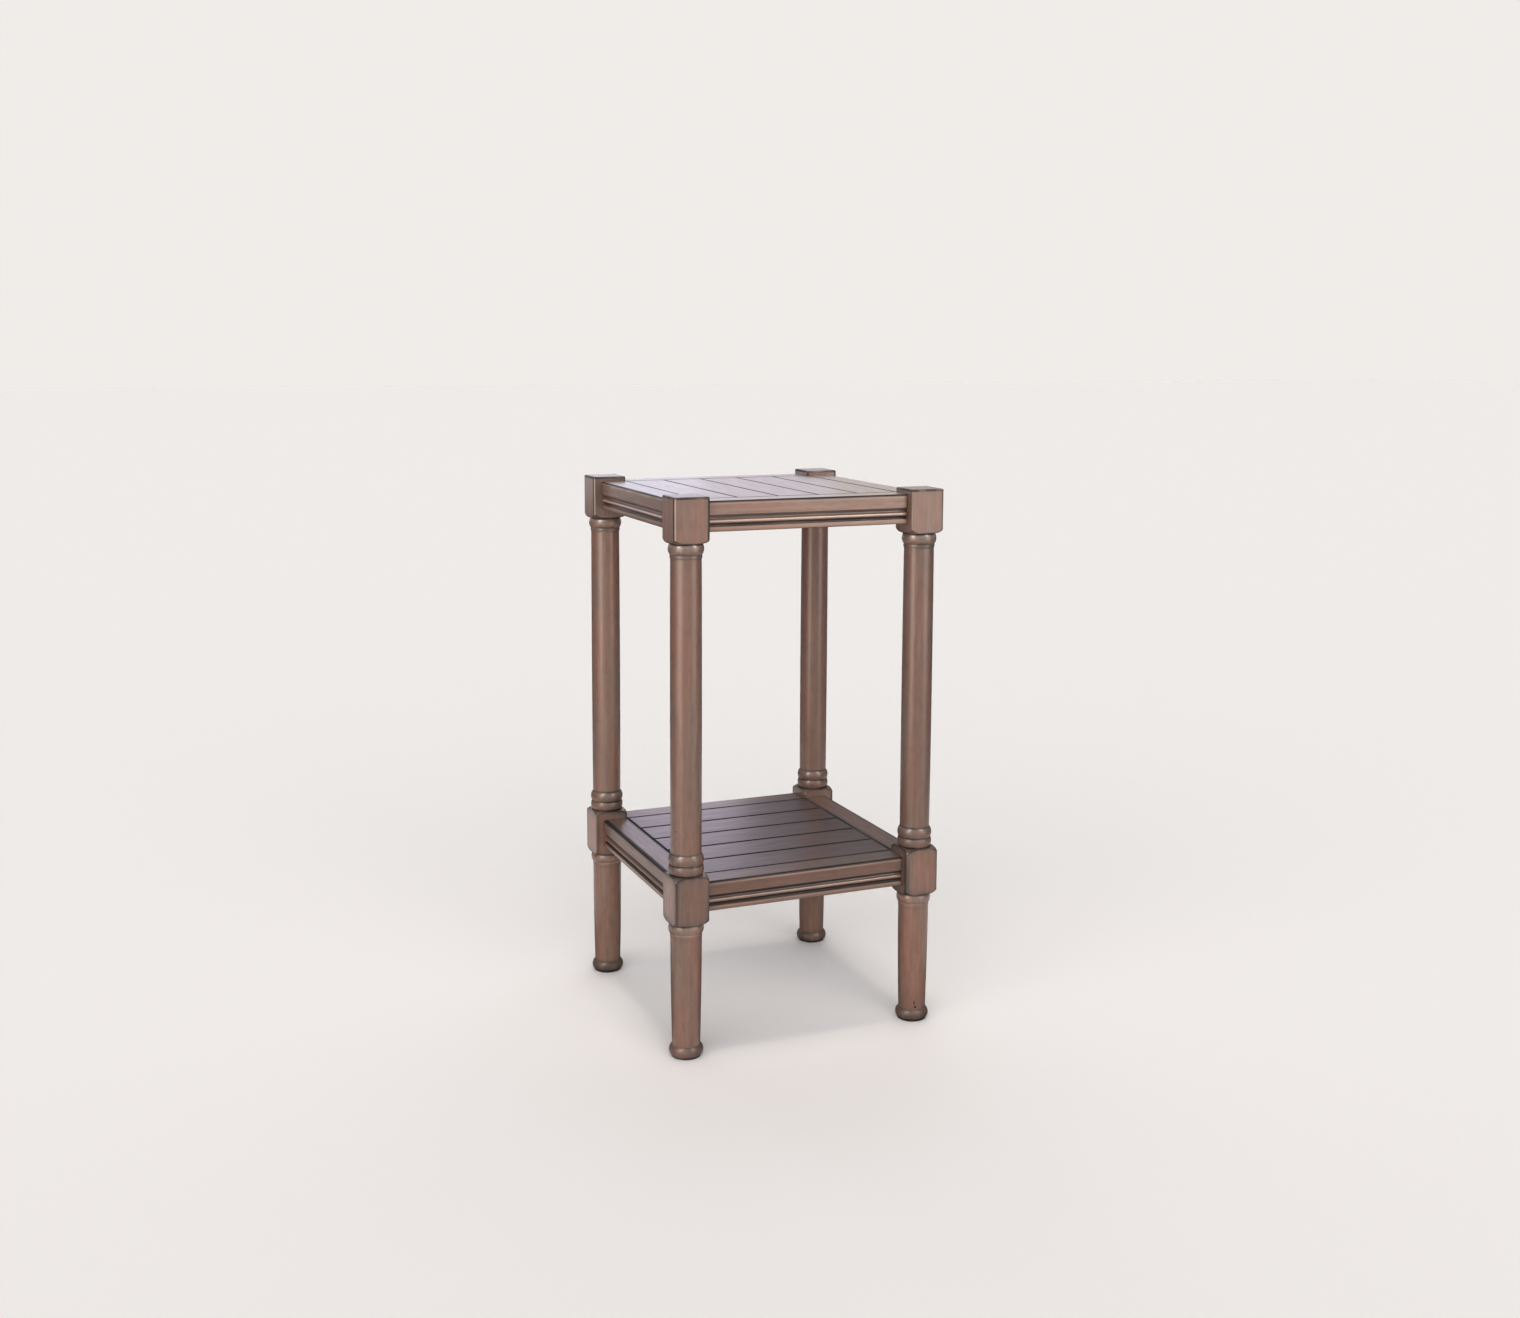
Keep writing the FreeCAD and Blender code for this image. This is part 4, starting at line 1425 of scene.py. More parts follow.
@dataclass
class SideBoards:
    """The border boards and reeded rails on the four sides of a level."""

    level: Level
    sweep: SweepNodes
    arris: float = 2.0 * MM
    under_ease: float = 0.8 * MM
    side_chamfer: float = 0.6 * MM
    end_chamfer: float = 1.3 * MM
    band_height: float = 6.5 * MM
    lower_quirk: float = 4.5 * MM
    reed_height: float = 5.0 * MM
    reed_recess: float = 0.3 * MM
    quirk_depth: float = 4.5 * MM
    rail_ease: float = 1.6 * MM
    stations: int = 60
    # Painted shade at the ends of each board and rail, where they meet the posts: how dark and how far
    end_glaze: float = 0.8
    end_reach: float = 3.5 * MM
    board_ground: float = 0.04
    rail_ground: float = 0.06
    # Where points lie, in mm: up a board's face, down from its top, in from its face, back from
    # its joint with the planks, and up the band of a rail
    face_rises: tuple[float, ...] = (1.4, 2.4, 4.0, 7.0)
    face_drops: tuple[float, ...] = (8.0, 6.0, 4.6, 3.6, 2.8, 2.3)
    top_depths: tuple[float, ...] = (2.4, 3.0, 3.8, 4.8, 6.2, 9.0, 16.0, 24.0)
    joint_margins: tuple[float, ...] = (6.0, 3.6, 2.2, 1.2, 0.5)
    band_rises: tuple[float, ...] = (2.4, 3.4, 4.6, 5.6, 6.2)
    # Glaze on a board, as strength and reach: at the foot and the top of its face, and, where it
    # is full, only as reach: on and in the joint with the planks
    foot_glaze: tuple[float, float] = (0.85, 1.3 * MM)
    face_glaze: tuple[float, float] = (0.20, 5.0 * MM)
    joint_reach: float = 2.0 * MM
    joint_depth: float = 3.0 * MM
    # Glaze on a rail: at the top of its band and at its foot, and the reach in each quirk, the
    # upper one being the paler
    band_glaze: tuple[float, float] = (0.45, 0.7 * MM)
    rail_foot_glaze: tuple[float, float] = (0.80, 1.5 * MM)
    lower_reach: float = 3.1 * MM
    upper_reach: float = 2.6 * MM
    upper_share: float = 0.8
    # Where the glaze is rubbed off, as distance and reach: below the arris of a board and below
    # the top of a band, with how strongly, and above the middle of a reed, where it is partly a painted
    # highlight, with its gloss
    board_rub: tuple[float, float, float] = (1.6 * MM, 0.85, 0.9 * MM)
    band_rub: tuple[float, float, float] = (1.4 * MM, 0.35, 0.8 * MM)
    reed_line: tuple[float, float] = (0.4 * MM, 1.3 * MM)
    reed_shine: tuple[float, float] = (0.5 * MM, 3.0 * MM)

    def border_section(self, side: Side, chamfer: float) -> Section:
        """The section of a border board.

        Args:
            side: Its side of the table.
            chamfer: The chamfer where it meets the planks.

        Returns:
            The shaded section.
        """
        sizes, arris, looks = self.level.sizes, self.arris, self.level.looks
        thick, wide = sizes.board_thickness, sizes.edge_face - sizes.block_inner
        joint, soft = wide - chamfer, arris * (1 - math.sqrt(0.5))
        points = [(self.under_ease, 0), (0, self.under_ease)]
        points += [(0, rise * MM) for rise in self.face_rises]
        points += [(0, thick - drop * MM) for drop in self.face_drops]
        points += [*arc_through((0, thick - arris), (soft, thick - soft), (arris, thick), 6)]
        points += [(depth * MM, thick) for depth in self.top_depths]
        points += [(joint - margin * MM, thick) for margin in self.joint_margins]
        points += [(joint, thick), (wide, thick - chamfer), (wide, thick / 2), (wide, 0)]
        points += [(wide * share, 0) for share in (0.75, 0.5, 0.25)]
        centre, reach, strength = looks.arris_lines.get(side, looks.usual_arris_line)
        dark = [
            GlazeLine(centre, thick - arris * 0.4, strength, reach),
            GlazeLine(0, 0, *self.foot_glaze),
            GlazeLine(joint, thick, 1.0, self.joint_reach + chamfer / 2),
            GlazeLine(wide, thick - chamfer - self.joint_depth, 1.0, self.joint_depth + chamfer),
            GlazeLine(0, thick, *self.face_glaze),
        ]
        drop, *rub = self.board_rub
        pale = [GlazeLine(0, thick - arris - drop, *rub)]
        # The point lies so high that the lacquer covers the level face and nothing below it.
        gloss = GlazeLine(wide / 2, thick + METRE, 1 + METRE / MM, METRE + MM)
        return Section.shaded(points, dark, pale, self.board_ground, gloss)

    def rail_section(self) -> Section:
        """The section of a reeded rail: band, quirk, bead and quirk from its foot up.

        Returns:
            The shaded section.
        """
        sizes, ease, looks = self.level.sizes, self.rail_ease, self.level.looks
        deep, high = sizes.edge_face - sizes.rail_inner, sizes.rail_height
        band_top, reed = self.band_height, self.reed_recess
        spring = reed + self.reed_height / 2
        low, soft = band_top + self.lower_quirk, ease * (1 - math.sqrt(0.5))
        top = low + self.reed_height
        lower, bead, upper = (band_top + low) / 2, (low + top) / 2, (top + high) / 2
        points = [*arc_through((ease, 0), (soft, soft), (0, ease), 5)]
        points += [(0, rise * MM) for rise in self.band_rises]
        points += [(0.15 * MM, band_top - 0.05 * MM), (0.5 * MM, band_top), (spring, band_top)]
        for start, depth, middle, end, steps in (
            (band_top, self.quirk_depth, lower, low, 7),
            (low, reed, bead, top, 12),
            (top, self.quirk_depth, upper, high, 7),
        ):
            points += [*arc_through((spring, start), (depth, middle), (spring, end), steps)[1:]]
        points += [(deep, high), (deep, high * 0.66), (deep, high * 0.33), (deep, 0)]
        points += [(deep * share, 0) for share in (0.7, 0.4)]
        dark = [
            GlazeLine(self.quirk_depth, lower, looks.quirk_glaze, self.lower_reach),
            GlazeLine(self.quirk_depth, upper, self.upper_share * looks.quirk_glaze, self.upper_reach),
            GlazeLine(0, band_top, *self.band_glaze),
            GlazeLine(ease * 0.7, 0, *self.rail_foot_glaze),
        ]
        (rise, reach), (drop, *rub) = self.reed_line, self.band_rub
        # The pale line above the middle of the reed is partly a painted highlight.
        pale = [
            GlazeLine(reed, bead + rise, looks.reed_rub, reach),
            GlazeLine(0, band_top - drop, *rub),
        ]
        rise, reach = self.reed_shine
        gloss = GlazeLine(reed, bead + rise, looks.reed_gloss, reach)
        return Section.shaded(points, dark, pale, self.rail_ground, gloss)

    def section_mesh(self, name: str, section: Section, base: float) -> bpy.types.Mesh:
        """A closed loop of edges that holds a section where the sweep needs it.

        Args:
            name: The mesh's name.
            section: The shaded section.
            base: The height of the board's lower face.

        Returns:
            A mesh of points and edges. The sweep carries its x to -Y and its y to -Z.
        """
        across, up = self.level.sizes.edge_face - section.points[:, 0], -(base + section.points[:, 1])
        count = len(across)
        area = np.sum(across * np.roll(up, -1) - up * np.roll(across, -1))
        order = np.arange(count) if area > 0 else np.arange(count)[::-1]
        corners = np.column_stack([across, up, np.zeros(count)])[order]
        mesh = new_mesh(name, corners, [(index, (index + 1) % count) for index in range(count)], [])
        store(mesh, {GLAZE: section.glaze[order], RUB: section.rub[order], BUILD: section.build_up[order]})
        return mesh

    def add_run(self, kind: Run, side: Side, section: Section, base: float, finish: str) -> None:
        """Adds one board or rail.

        Args:
            kind: Which of the two it is.
            side: Its side of the table.
            section: Its shaded section.
            base: The height of its lower face.
            finish: The name of its finish.
        """
        level, place = self.level, side.name.lower()
        node_word, piece_word = kind.value
        name = f"{level.name}_{piece_word}_{place}"
        offset, tone = level.timber.pick()
        material = level.finishes[finish]
        values = {
            "Half Length": level.sizes.block_inner,
            "Stations": self.stations,
            "End Glaze": self.end_glaze,
            "End Reach": self.end_reach,
            "Grain Offset": tuple(offset),
            # The board's or rail's painted light or shade scales its tone.
            "Tone": tone * level.looks.shades.get(f"{node_word}_{place}", 1.0),
            "Turn": QUARTER * side.value,
            "Finish": material,
        }
        mesh = self.sweep.run(name, self.section_mesh(name + "_section", section, base), values)
        add_piece(name, mesh, material, [f"{level.name}_{node_word}_{place}"])

    def build(self) -> None:
        """Builds the boards and rails of the four sides."""
        level = self.level
        under = level.surface - level.sizes.board_thickness
        for side in Side:
            chamfer = self.end_chamfer if side in level.plank_ends else self.side_chamfer
            border, slot = self.border_section(side, chamfer), level.name + "_boards"
            self.add_run(Run.BOARD, side, border, under, level.looks.edge_finish)
            rail, base = self.rail_section(), under - level.sizes.rail_height
            self.add_run(Run.RAIL, side, rail, base, "rails")


@dataclass
class PlankField:
    """The planks of a level, with a V joint along each side and end."""

    level: Level
    side_chamfer: float = 1.6 * MM
    end_chamfer: float = 1.3 * MM
    chamfer_shares: tuple[float, ...] = (0, 0.35, 0.7, 1.0)
    edge_margins: tuple[float, ...] = (0.35 * MM, 0.9 * MM, 1.8 * MM, 3.2 * MM, 6.0 * MM)
    inner_across: int = 8
    inner_along: int = 24
    # The share of a chamfer, from its foot, that the glaze fills
    filled_share: float = 0.6
    seam: float = 0.12 * MM
    crown: float = 0.12 * MM
    least_glaze: float = 0.04
    side_glaze: float = 0.5
    under_glaze: float = 0.05

    def stops(self, half: float, chamfer: float, middle: int) -> np.ndarray:
        """Places across or along a plank, closer together at its edges.

        Args:
            half: Half its width or length.
            chamfer: The chamfer of its edge.
            middle: How many places there are between the edges.

        Returns:
            The places, from one edge to the other.
        """
        near = np.append(np.array(self.chamfer_shares) * chamfer, chamfer + np.array(self.edge_margins))
        inner = np.linspace(-half + near[-1], half - near[-1], middle + 2)[1:-1]
        return np.concatenate([-half + near, inner, half - near[::-1]])

    def plank(self, index: int) -> tuple[Skin, np.ndarray]:
        """One plank along X, counted from the front.

        Args:
            index: Its number, from 0.

        Returns:
            Its skin and the middle of its section.
        """
        level, inner = self.level, self.level.sizes.block_inner
        width = 2 * inner / level.plank_count
        centre = -inner + (index + 0.5) * width
        half_width, half_length = width / 2 - self.seam, inner - self.seam
        thick = level.sizes.board_thickness
        low = level.surface - thick
        across = self.stops(half_width, self.side_chamfer, self.inner_across)
        along = self.stops(half_length, self.end_chamfer, self.inner_along)[:, None]
        drop, joint = 0, 0
        for edge, chamfer in (
            (half_width - np.abs(across), self.side_chamfer),
            (half_length - np.abs(along), self.end_chamfer),
        ):
            drop = np.maximum(drop, chamfer - edge)
            beyond = np.maximum(edge - chamfer * self.filled_share, 0)
            joint = np.maximum(joint, fade(beyond, level.looks.joint_reach))
        crown = self.crown * (np.abs(across) / half_width) ** 2
        below = across[::-1]
        strips = (
            (across, level.surface - drop - crown * (drop == 0), level.looks.joint_glaze * joint),
            (below[:1], low + thick * 0.5, self.side_glaze),
            (below, low, self.under_glaze),
            (below[-1:], low + thick * 0.5, self.side_glaze),
        )
        grids = [np.broadcast_arrays(along, place + centre, height, glaze) for place, height, glaze in strips]
        table = np.stack(np.concatenate(grids, axis=2), axis=-1)[:, ::-1]
        places, glaze = table[..., :3], np.maximum(table[..., 3], self.least_glaze)
        build_up = fade(places[..., 2] - level.surface, 1.0 * MM)
        return Skin(places, glaze, np.zeros(glaze.shape), build_up), np.array([0, centre, low + thick / 2])

    def build(self) -> None:
        """Builds the planks."""
        level = self.level
        material = level.finishes[level.looks.board_finish]
        for index in range(level.plank_count):
            skin, middle = self.plank(index)
            offset, tone = level.timber.pick()
            grain = skin.places - middle + offset
            skin.places = quarter_turned(skin.places, level.turns)
            name = f"{level.name}_slat_{index + 1}"
            mesh = skin.mesh(name, grain, tone * level.looks.plank_tone)
            add_piece(name, mesh, material, [f"{level.name}_plank_{index + 1}"])


# Each post: the tone of its column and leg, the painted light and shade on the faces of its blocks, and the
# wear of its arrises
POST_LOOKS = {
    Corner.FRONT_LEFT: PostLooks(
        0.77,
        0.81,
        ((0.9, 0.9, 0.94, 0.89), (0.9, 0.9, 1.12, 0.66)),
        (
            ArrisWear(),
            ArrisWear(),
            ArrisWear(1.3, 0.25, 0.25, 0.85, 1.0, 4.0 * MM),
            ArrisWear(1.1, 1.0, 0.7, 0.9, 0.0, 2.0 * MM),
        ),
    ),
    Corner.FRONT_RIGHT: PostLooks(
        0.74,
        0.90,
        ((0.9, 0.95, 0.94, 0.91), (0.95, 0.9, 0.79, 0.88)),
        (
            ArrisWear(),
            ArrisWear(),
            ArrisWear(0.30, 0.10, 0.66, 0.15, 0.3, 10.0 * MM),
            ArrisWear(1.0, 1.0, 0.8, 1.0, 0.0, 1.6 * MM),
        ),
    ),
    Corner.BACK_RIGHT: PostLooks(
        0.82,
        0.98,
        ((0.95, 1.0, 0.9, 1.15), (0.95, 0.95, 1.0, 0.8)),
        (
            ArrisWear(rub=0.8),
            ArrisWear(),
            ArrisWear(1.0, 1.0, 1.0, 1.0, 0.0, 1.4 * MM),
            ArrisWear(1.0, 1.0, 1.0, 1.0, 0.0, 2.0 * MM),
        ),
    ),
    Corner.BACK_LEFT: PostLooks(
        0.92,
        0.97,
        ((0.95, 1.0, 0.95, 0.66), (0.95, 0.9, 1.2, 0.85)),
        (
            ArrisWear(),
            ArrisWear(rub=0.8),
            ArrisWear(1.2, 0.3, 0.4, 0.8, 0.9, 3.5 * MM),
            ArrisWear(),
        ),
    ),
}

# Painted light on the top's front border board and rail, lit from the front, and painted shade on its left
# border board
TOP_SHADES = {"border_front": 1.12, "rail_front": 1.2, "border_left": 0.84}
# Painted shade on the shelf's boards and rails under the top, least on the right border board, where a
# painted sheen lightens it
SHELF_SHADES = {
    "border_front": 0.63,
    "border_left": 0.7,
    "border_right": 0.88,
    "border_back": 0.6,
    "rail_front": 0.74,
    "rail_left": 0.9,
}
TOP_LINES = {Side.FRONT: (1.2 * MM, 2.2 * MM, 1.1)}
SHELF_LINES = {
    Side.FRONT: (1.4 * MM, 2.4 * MM, 1.2),
    Side.LEFT: (2.4 * MM, 3.8 * MM, 1.6),
    Side.RIGHT: (1.4 * MM, 2.6 * MM, 1.2),
}
LEVEL_LOOKS = {
    "top": LevelLooks(
        "top_boards", "top_boards", 1.0, 0.9 * MM, 1.9, 0.9, 1.35, 0.9, TOP_SHADES, TOP_LINES
    ),
    # The shelf's planks are darker, a painted shade under the top.
    "shelf": LevelLooks(
        "shelf_boards", "shelf_edges", 0.44, 1.7 * MM, 1.9, 0.05, 1.0, 1.35, SHELF_SHADES, SHELF_LINES
    ),
}


@dataclass(frozen=True)
class CrossScrew:
    """A countersunk wood screw with a cross recess, its head at the origin and its tip at +Z."""

    length: float
    radius: float = 2.0 * MM
    head_radius: float = 3.9 * MM
    head_height: float = 2.6 * MM
    recess_half_width: float = 0.45 * MM
    recess_reach: float = 2.2 * MM
    recess_depth: float = 1.2 * MM
    sides: int = 24

    def mesh(self) -> bpy.types.Mesh:
        """Builds the screw.

        Returns:
            A closed mesh of a few dozen faces.
        """
        w, reach = self.recess_half_width, self.recess_reach
        arm = np.array([(reach, -w, 0), (reach, w, 0), (w, w, 0)])
        cross = np.concatenate([quarter_turned(arm, turn) for turn in range(4)])
        profile = [
            (self.head_radius, 0.0),
            (self.radius, self.head_height),
            (self.radius, self.length * 0.8),
            (self.radius * 0.45, self.length * 0.97),
        ]
        # The rings start a step early, so that each point of the cross faces two of their sides.
        rings = lathed(profile, self.sides, -1).reshape(-1, 3)
        vertices = np.vstack([cross + (0, 0, self.recess_depth), cross, rings, (0, 0, self.length)])
        count, rim, tip = len(cross), 2 * len(cross), len(vertices) - 1
        faces = [tuple(range(count))[::-1]]
        for index, wall in enumerate(band(0, count, count)):
            a, b, c = (rim + (2 * index + step) % self.sides for step in range(3))
            faces += [wall, (wall[3], b, a), (wall[3], wall[2], c, b)]
        for low in range(rim, tip - self.sides, self.sides):
            faces += band(low, low + self.sides, self.sides)
        faces += [(low, after, tip) for low, after, _, _ in band(tip - self.sides, 0, self.sides)]
        return new_mesh("cross_screw", vertices, [], faces)


@dataclass(frozen=True)
class FlutedDowel:
    """A beech dowel with glue flutes and chamfered ends, centred on the origin along Z."""

    radius: float = 3.0 * MM
    length: float = 20.0 * MM
    ease: float = 0.6 * MM
    flutes: int = 12
    flute_depth: float = 0.2 * MM

    def mesh(self) -> bpy.types.Mesh:
        """Builds the dowel.

        Returns:
            A closed mesh.
        """
        sides, half, ease = 2 * self.flutes, self.length / 2, self.ease
        flutes = self.flute_depth * (np.arange(sides) % 2)
        stations = ((-half, ease), (-half + ease, 0.0), (half - ease, 0.0), (half, ease))
        rings = lathed([(self.radius - shrink - flutes, height) for height, shrink in stations], sides)
        faces = [face for ring in range(3) for face in band(ring * sides, (ring + 1) * sides, sides)]
        faces += [tuple(range(sides))[::-1], tuple(range(3 * sides, 4 * sides))]
        return new_mesh("fluted_dowel", rings.reshape(-1, 3), [], faces)


@dataclass
class Fixings:
    """The screws and dowels that hold a level together from below."""

    level: Level
    nodes: ScatterNodes
    edge_inset: float = 7.5 * MM
    batten_screw_length: float = 26.0 * MM
    corner_screw_length: float = 32.0 * MM
    dowel_end_inset: float = 58.0 * MM
    reed_spring: float = 2.8 * MM
    spin_seed: int = 7

    def scatter(
        self, name: str, node: str, slot: str, base: bpy.types.Mesh, places: np.ndarray, aims: np.ndarray
    ) -> None:
        """Sets a fixing at each place and puts the group in the scene.

        Args:
            name: The piece's name, without its level.
            node: The CAD node that it stands for, without its level.
            slot: The record's material slot, which is also the name of the finish.
            base: One fixing.
            places: Where each stands.
            aims: Where each points, one row where all point the same way.
        """
        name, material = f"{self.level.name}_{name}", self.level.finishes[slot]
        spots = new_mesh(name + "_places", places, [], [])
        store(spots, {"direction": np.broadcast_to(aims, places.shape)})
        holder = new_object(name + "_places", spots)
        values = {"Places": holder, "Spin Seed": self.spin_seed, "Finish": material}
        mesh = self.nodes.run(name, base, values)
        bpy.data.objects.remove(holder)
        add_piece(name, mesh, material, [f"{self.level.name}_{node}"])

    def batten_places(self) -> np.ndarray:
        """Where the screws go up through the two battens, into the planks and two border boards.

        Returns:
            A row for each screw.
        """
        level, sizes = self.level, self.level.sizes
        outer, count = sizes.rail_inner - self.edge_inset, level.plank_count
        rows = [-outer, *(sizes.block_inner * (2 * (n + 0.5) / count - 1) for n in range(count)), outer]
        spots = []
        for side in level.plank_ends:
            low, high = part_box(f"{level.name}_batten_{side.name.lower()}")
            middle = (low + high) / 2
            spots += [(row, middle.y, low.z) if level.turns else (middle.x, row, low.z) for row in rows]
        return np.array(spots)

    def build(self) -> None:
        """Builds the screws and dowels of the level."""
        level, sizes = self.level, self.level.sizes
        up, out = np.array([[0.0, 0.0, 1.0]]), np.array([[-1.0, -1.0, 0.0]])
        low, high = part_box(level.name + "_corner_block_front_left")
        across = (low.x + high.x) / 2
        corner = np.array([[across, across, (low.z + high.z) / 2]])
        along = sizes.block_inner - self.dowel_end_inset
        middle = -(sizes.edge_face + sizes.rail_inner - self.reed_spring) / 2
        joint = level.surface - sizes.board_thickness
        pair = np.array([[-along, middle, joint], [along, middle, joint]])
        corners, aims, pairs = (
            np.concatenate([quarter_turned(points, turn) for turn in range(4)])
            for points in (corner, out, pair)
        )
        screw = CrossScrew(self.batten_screw_length).mesh()
        self.scatter("batten_screw_set", "batten_screws", "screws", screw, self.batten_places(), up)
        screw = CrossScrew(self.corner_screw_length).mesh()
        self.scatter("corner_screw_set", "corner_screws", "screws", screw, corners, aims)
        self.scatter("dowel_pins", "dowels", "dowels", FlutedDowel().mesh(), pairs, up)


@dataclass(frozen=True)
class Studio:
    """The pale floor, the even room, the lamps and the camera."""

    backdrop: str = "#F0ECE9"
    floor_colour: str = "#FEFAF8"
    room_colour: str = "#F4FAFF"
    felt_colour: str = "#414C54"
    sun_colour: str = "#FFF6EE"
    low_light: float = 1.47
    high_light: float = 0.09
    # How much darker the room is to the camera's left and right than in front and behind
    side_shade: float = 0.9
    low_light_edge: float = 25.0
    high_light_edge: float = 65.0
    floor_half: float = 30.0
    image_width: float = 1520.0
    image_height: float = 1318.0
    focal_pixels: float = 1708.19
    centre_row: float = 545.0
    sensor: float = 36.0
    camera_place: tuple = (-0.94938, -2.25439, 0.96910)
    camera_yaw: float = 22.965
    camera_pitch: float = 6.974
    camera_roll: float = 0.280
    # Far, soft lamps: azimuth, elevation, the brightness of a white surface that faces each, and its
    # width in degrees. An azimuth counts from the camera to its right.
    suns: tuple = (
        ("overhead", 0, 89, 0.21, 10),
        ("left_fill", -30, 28, 0.19, 50),
        ("right_fill", 22, 28, 0.19, 50),
    )
    # Upright boxes: azimuth, distance, width, lower and upper end, brightness and colour
    low_boxes: tuple = (
        ("left_box", -40, 1.9, 0.95, 0.05, 1.35, 4.6, "#FFE9D8"),
        ("right_box", 58, 2.0, 1.05, 0.10, 1.20, 2.5, "#FFF0E4"),
    )
    # Boxes above them, tilted down: azimuth, size and brightness
    high_boxes: tuple = (("left_high", -40, (0.5, 1.3), 24.0), ("right_high", 58, (0.45, 1.2), 18.0))
    high_box_place: tuple = (1.5, 1.7)
    high_box_colour: str = "#FFF4EC"
    high_box_aim: float = 0.5
    # Boxes behind the table: middle, size, brightness and colour
    cool_boxes: tuple = (
        ("cool_box_low", (0.10, 1.45, 0.61), (0.92, 0.24), 1.6, "#DCCCFF"),
        ("cool_box_high", (-0.03, 1.45, 1.2), (1.7, 0.7), 0.39, "#B8C2FF"),
        ("cool_box_left", (0.02, 1.45, 1.2), (0.9, 0.7), 0.52, "#D4E0FF"),
    )
    # Dark cards behind the table, which draw its outlines: degrees to the right of the line from
    # the camera through the table, half the width in degrees, and the height
    cards: tuple = (
        ("left_card", -33, 21, 0.62),
        ("right_card", 28.5, 29.5, 0.80),
        ("left_side_card", -80, 26, 0.80),
        ("right_side_card", 82, 24, 0.80),
    )
    card_distance: float = 1.3
    # A dark mat on the floor, which draws the outlines of the legs: how far behind the table's
    # middle it starts and ends, and half its width
    mat: tuple = (-0.20, 0.35, 0.42)

    def direction(self, azimuth: float, elevation: float) -> Vector:
        """A direction from the table.

        Args:
            azimuth: Degrees to the camera's right.
            elevation: Degrees above the floor.

        Returns:
            A unit vector that points to the lamp.
        """
        turn = math.radians(azimuth - self.camera_yaw)
        rise = math.radians(elevation)
        return Vector((math.sin(turn) * math.cos(rise), -math.cos(turn) * math.cos(rise), math.sin(rise)))

    def add_lamp(self, name: str, kind: str, power: float, colour: str, behind: Vector) -> bpy.types.Object:
        """Adds a lamp.

        Args:
            name: Its name.
            kind: Blender's name of its kind.
            power: Its strength.
            colour: Its colour.
            behind: The direction from what it lights to the lamp.

        Returns:
            The object that holds it.
        """
        lamp = bpy.data.lights.new(name, kind)
        lamp.energy = power
        lamp.color = linear(colour)[:3]
        holder = new_object(name, lamp)
        holder.rotation_mode = "QUATERNION"
        holder.rotation_quaternion = behind.to_track_quat("Z", "Y")
        return holder

    def add_panel(
        self,
        name: str,
        place: Vector,
        size: tuple[float, float],
        level: float,
        colour: str,
        drop: float = 0.0,
        lit: bpy.types.Collection | None = None,
    ) -> None:
        """Adds a soft box that faces the table and that only the lacquer shows.

        Args:
            name: Its name.
            place: Its middle.
            size: Its width and height.
            level: The brightness of its face.
            colour: Its colour.
            drop: How far below its middle it aims, 0 where it stands upright.
            lit: The pieces that it lights, all where none is given.
        """
        power = level * math.pi * size[0] * size[1]
        holder = self.add_lamp(name, "AREA", power, colour, Vector((place.x, place.y, drop)))
        holder.data.shape = "RECTANGLE"
        holder.data.size, holder.data.size_y = size
        holder.location = place
        holder.visible_diffuse = False
        holder.visible_camera = False
        holder.light_linking.receiver_collection = lit

    def add_sheet(self, name: str, corners: list, finish: str, colour: str) -> bpy.types.Object:
        """Adds a flat sheet of one matt colour.

        Args:
            name: Its name.
            corners: Its four corners in turn.
            finish: The name of its material.
            colour: Its colour.

        Returns:
            The sheet.
        """
        mesh = new_mesh(name, corners, [], [(0, 1, 2, 3)])
        material, add = new_material(finish)
        add("OutputMaterial", {"Surface": add("BsdfDiffuse", {"Color": linear(colour)})}, None)
        mesh.materials.append(material)
        return new_object(name, mesh)

    def add_felt(self, name: str, corners: list[Vector]) -> None:
        """Adds a sheet of grey felt that only gloss shows.

        Args:
            name: Its name.
            corners: Its four corners in turn.
        """
        # Brushed felt has no shine. The lacquer shows it as a soft grey patch in the pale backdrop.
        card = self.add_sheet(name, corners, "grey_felt_" + name, self.felt_colour)
        card.visible_camera = False
        card.visible_diffuse = False
        card.visible_shadow = False
        card.visible_transmission = False

    def build_room(self) -> None:
        """Sets the light of the room, brightest low down, and the backdrop that camera and gloss see."""
        world = bpy.data.worlds.new("room")
        bpy.context.scene.world = world
        world.use_nodes = True
        world.node_tree.nodes.clear()
        add = partial(add_node, world.node_tree)
        rays = add("LightPath", output=None)
        seen = add("Math", (rays["Is Camera Ray"], rays["Is Glossy Ray"]), operation="ADD")
        seen = add("Math", (seen, rays["Is Transmission Ray"]), operation="ADD", use_clamp=True)
        aim = add("TexCoord", (), "Generated")
        low, high = (math.sin(math.radians(edge)) for edge in (self.low_light_edge, self.high_light_edge))
        heights = (add("SeparateXYZ", (aim,), "Z"), low, high, self.low_light, self.high_light)
        level = add("MapRange", heights, interpolation_type="SMOOTHSTEP")
        ahead = add("VectorMath", (aim, self.direction(0, 0)), "Value", operation="DOT_PRODUCT")
        ahead = add("Math", (ahead, ahead), operation="MULTIPLY")
        front = add("MapRange", (ahead, 0.0, 1.0, 1 - self.side_shade, 1 + self.side_shade))
        level = add("Math", (level, front), operation="MULTIPLY")
        even = add("Background", {"Color": linear(self.room_colour), "Strength": level})
        drop = add("Background", {"Color": linear(self.backdrop), "Strength": 1.0})
        add("OutputWorld", {"Surface": add("MixShader", (seen, even, drop))}, None)

    def build_floor(self) -> None:
        """Lays the plain pale floor."""
        half = self.floor_half
        corners = [(-half, -half, 0), (half, -half, 0), (half, half, 0), (-half, half, 0)]
        # Matt paper has no shine, so it mirrors nothing and only keeps the table's shadow.
        floor = self.add_sheet("floor", corners, "matt_paper_floor", self.floor_colour)

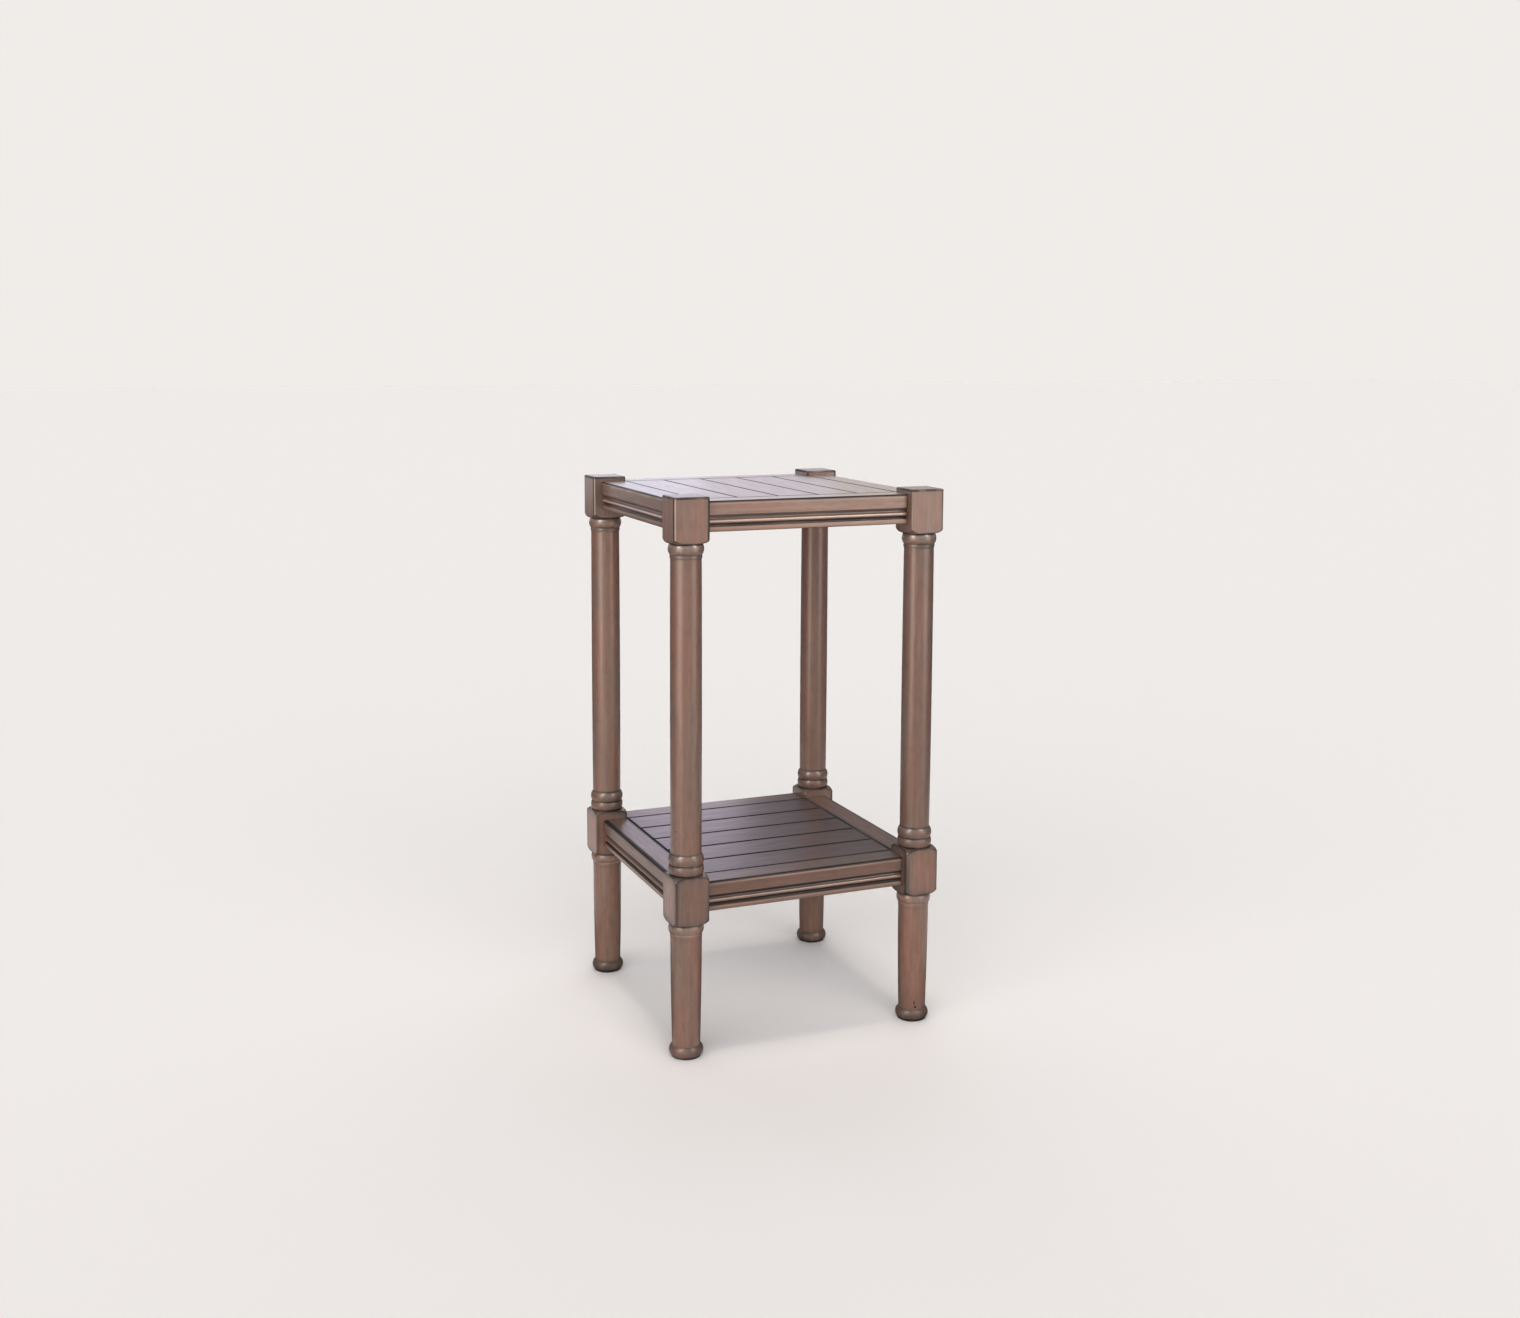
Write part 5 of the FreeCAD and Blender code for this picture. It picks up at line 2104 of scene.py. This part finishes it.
    def build_camera(self) -> None:
        """Sets the camera where the photograph was taken from."""
        data = bpy.data.cameras.new("camera")
        data.sensor_width = self.sensor
        data.lens = self.focal_pixels / self.image_width * self.sensor
        data.shift_y = (self.centre_row - self.image_height / 2) / self.image_width
        camera = new_object("camera", data)
        camera.location = self.camera_place
        yaw, pitch = math.radians(self.camera_yaw), math.radians(self.camera_pitch)
        ahead = Vector((math.sin(yaw) * math.cos(pitch), math.cos(yaw) * math.cos(pitch), -math.sin(pitch)))
        roll = Matrix.Rotation(math.radians(self.camera_roll), 3, "Z")
        camera.rotation_mode = "QUATERNION"
        camera.rotation_quaternion = (ahead.to_track_quat("-Z", "Y").to_matrix() @ roll).to_quaternion()
        bpy.context.scene.camera = camera

    def build_boxes(self) -> None:
        """Adds the soft boxes beside and behind the table."""
        # What stands above the top leaves its boards alone, where it would glare when seen from behind.
        table_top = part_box("top_border_front")[1].z
        upright = bpy.data.collections.new("posts_and_rails")
        for piece in bpy.context.scene.objects:
            if piece.name.startswith("turned_post_") or "_reeded_rail_" in piece.name:
                upright.objects.link(piece)
        for name, azimuth, distance, width, low, high, level, colour in self.low_boxes:
            parts = (("lower", low, table_top, None), ("upper", table_top, high, upright))
            for part, base, end, lit in parts:
                place = self.direction(azimuth, 0) * distance + Vector((0, 0, (base + end) / 2))
                self.add_panel(f"{name}_{part}", place, (width, end - base), level, colour, lit=lit)
        distance, height = self.high_box_place
        drop = height - self.high_box_aim
        for name, azimuth, size, level in self.high_boxes:
            place = self.direction(azimuth, 0) * distance + Vector((0, 0, height))
            self.add_panel(name, place, size, level, self.high_box_colour, drop, upright)
        for name, middle, size, level, colour in self.cool_boxes:
            self.add_panel(name, Vector(middle), size, level, colour)

    def build_felts(self) -> None:
        """Stands the cards behind the table and lays the mat."""
        for name, azimuth, spread, height in self.cards:
            middle = self.direction(180 - azimuth, 0) * self.card_distance
            half = self.card_distance * math.tan(math.radians(spread))
            across = Vector((-middle.y, middle.x, 0)).normalized() * half
            low, high, lift = middle - across, middle + across, Vector((0, 0, height))
            self.add_felt(name, [low, high, high + lift, low + lift])
        near, far, half = self.mat
        ahead, lift = self.direction(180, 0), Vector((0, 0, MM))
        across = Vector((-ahead.y, ahead.x, 0)) * half
        spans = ((near, -1), (near, 1), (far, 1), (far, -1))
        self.add_felt("floor_mat", [lift + ahead * reach + across * end for reach, end in spans])

    def build(self) -> None:
        """Builds the studio."""
        self.build_room()
        self.build_floor()
        self.build_camera()
        for name, azimuth, elevation, level, spread in self.suns:
            aim = self.direction(azimuth, elevation)
            sun = self.add_lamp(name, "SUN", level * math.pi, self.sun_colour, aim)
            sun.data.angle = math.radians(spread)
        self.build_boxes()
        self.build_felts()
        bpy.context.scene.view_settings.view_transform = "Standard"


@dataclass
class AccentTable:
    """The whole table."""

    seed: int = 23

    def build(self) -> None:
        """Builds every piece in order."""
        sizes, timber = PackedSizes.read(), Timber(random.Random(self.seed))
        finishes = {name: finish.build() for name, finish in FINISHES.items()}
        for corner in Corner:
            TurnedPost(sizes, corner, POST_LOOKS[corner]).build(finishes["posts"], timber)
            Glide(corner).build(finishes["glides"])
        sweep, scatter = SweepNodes(), ScatterNodes()
        for name, surface, turns, plank_ends in (
            ("top", sizes.top_surface, -1, (Side.FRONT, Side.BACK)),
            ("shelf", sizes.shelf_surface, 0, (Side.LEFT, Side.RIGHT)),
        ):
            level = Level(name, sizes, surface, turns, plank_ends, LEVEL_LOOKS[name], finishes, timber)
            PlankField(level).build()
            SideBoards(level, sweep).build()
            Fixings(level, scatter).build()
        # The battens and corner blocks stay as the solids are.
        for node in sorted(frame["nodes"]):
            if "_batten_" in node and "screws" not in node or "_corner_block_" in node:
                mesh = frame["nodes"][node].data
                mesh.materials.clear()
                mesh.materials.append(finishes["bracing"])
                LOG.info("%s: planed softwood", node)


def main() -> None:
    """Builds the table and its studio."""
    logging.basicConfig(level=logging.INFO, format="%(name)s: %(message)s")
    AccentTable().build()
    Studio().build()


if __name__ == "__main__":
    main()
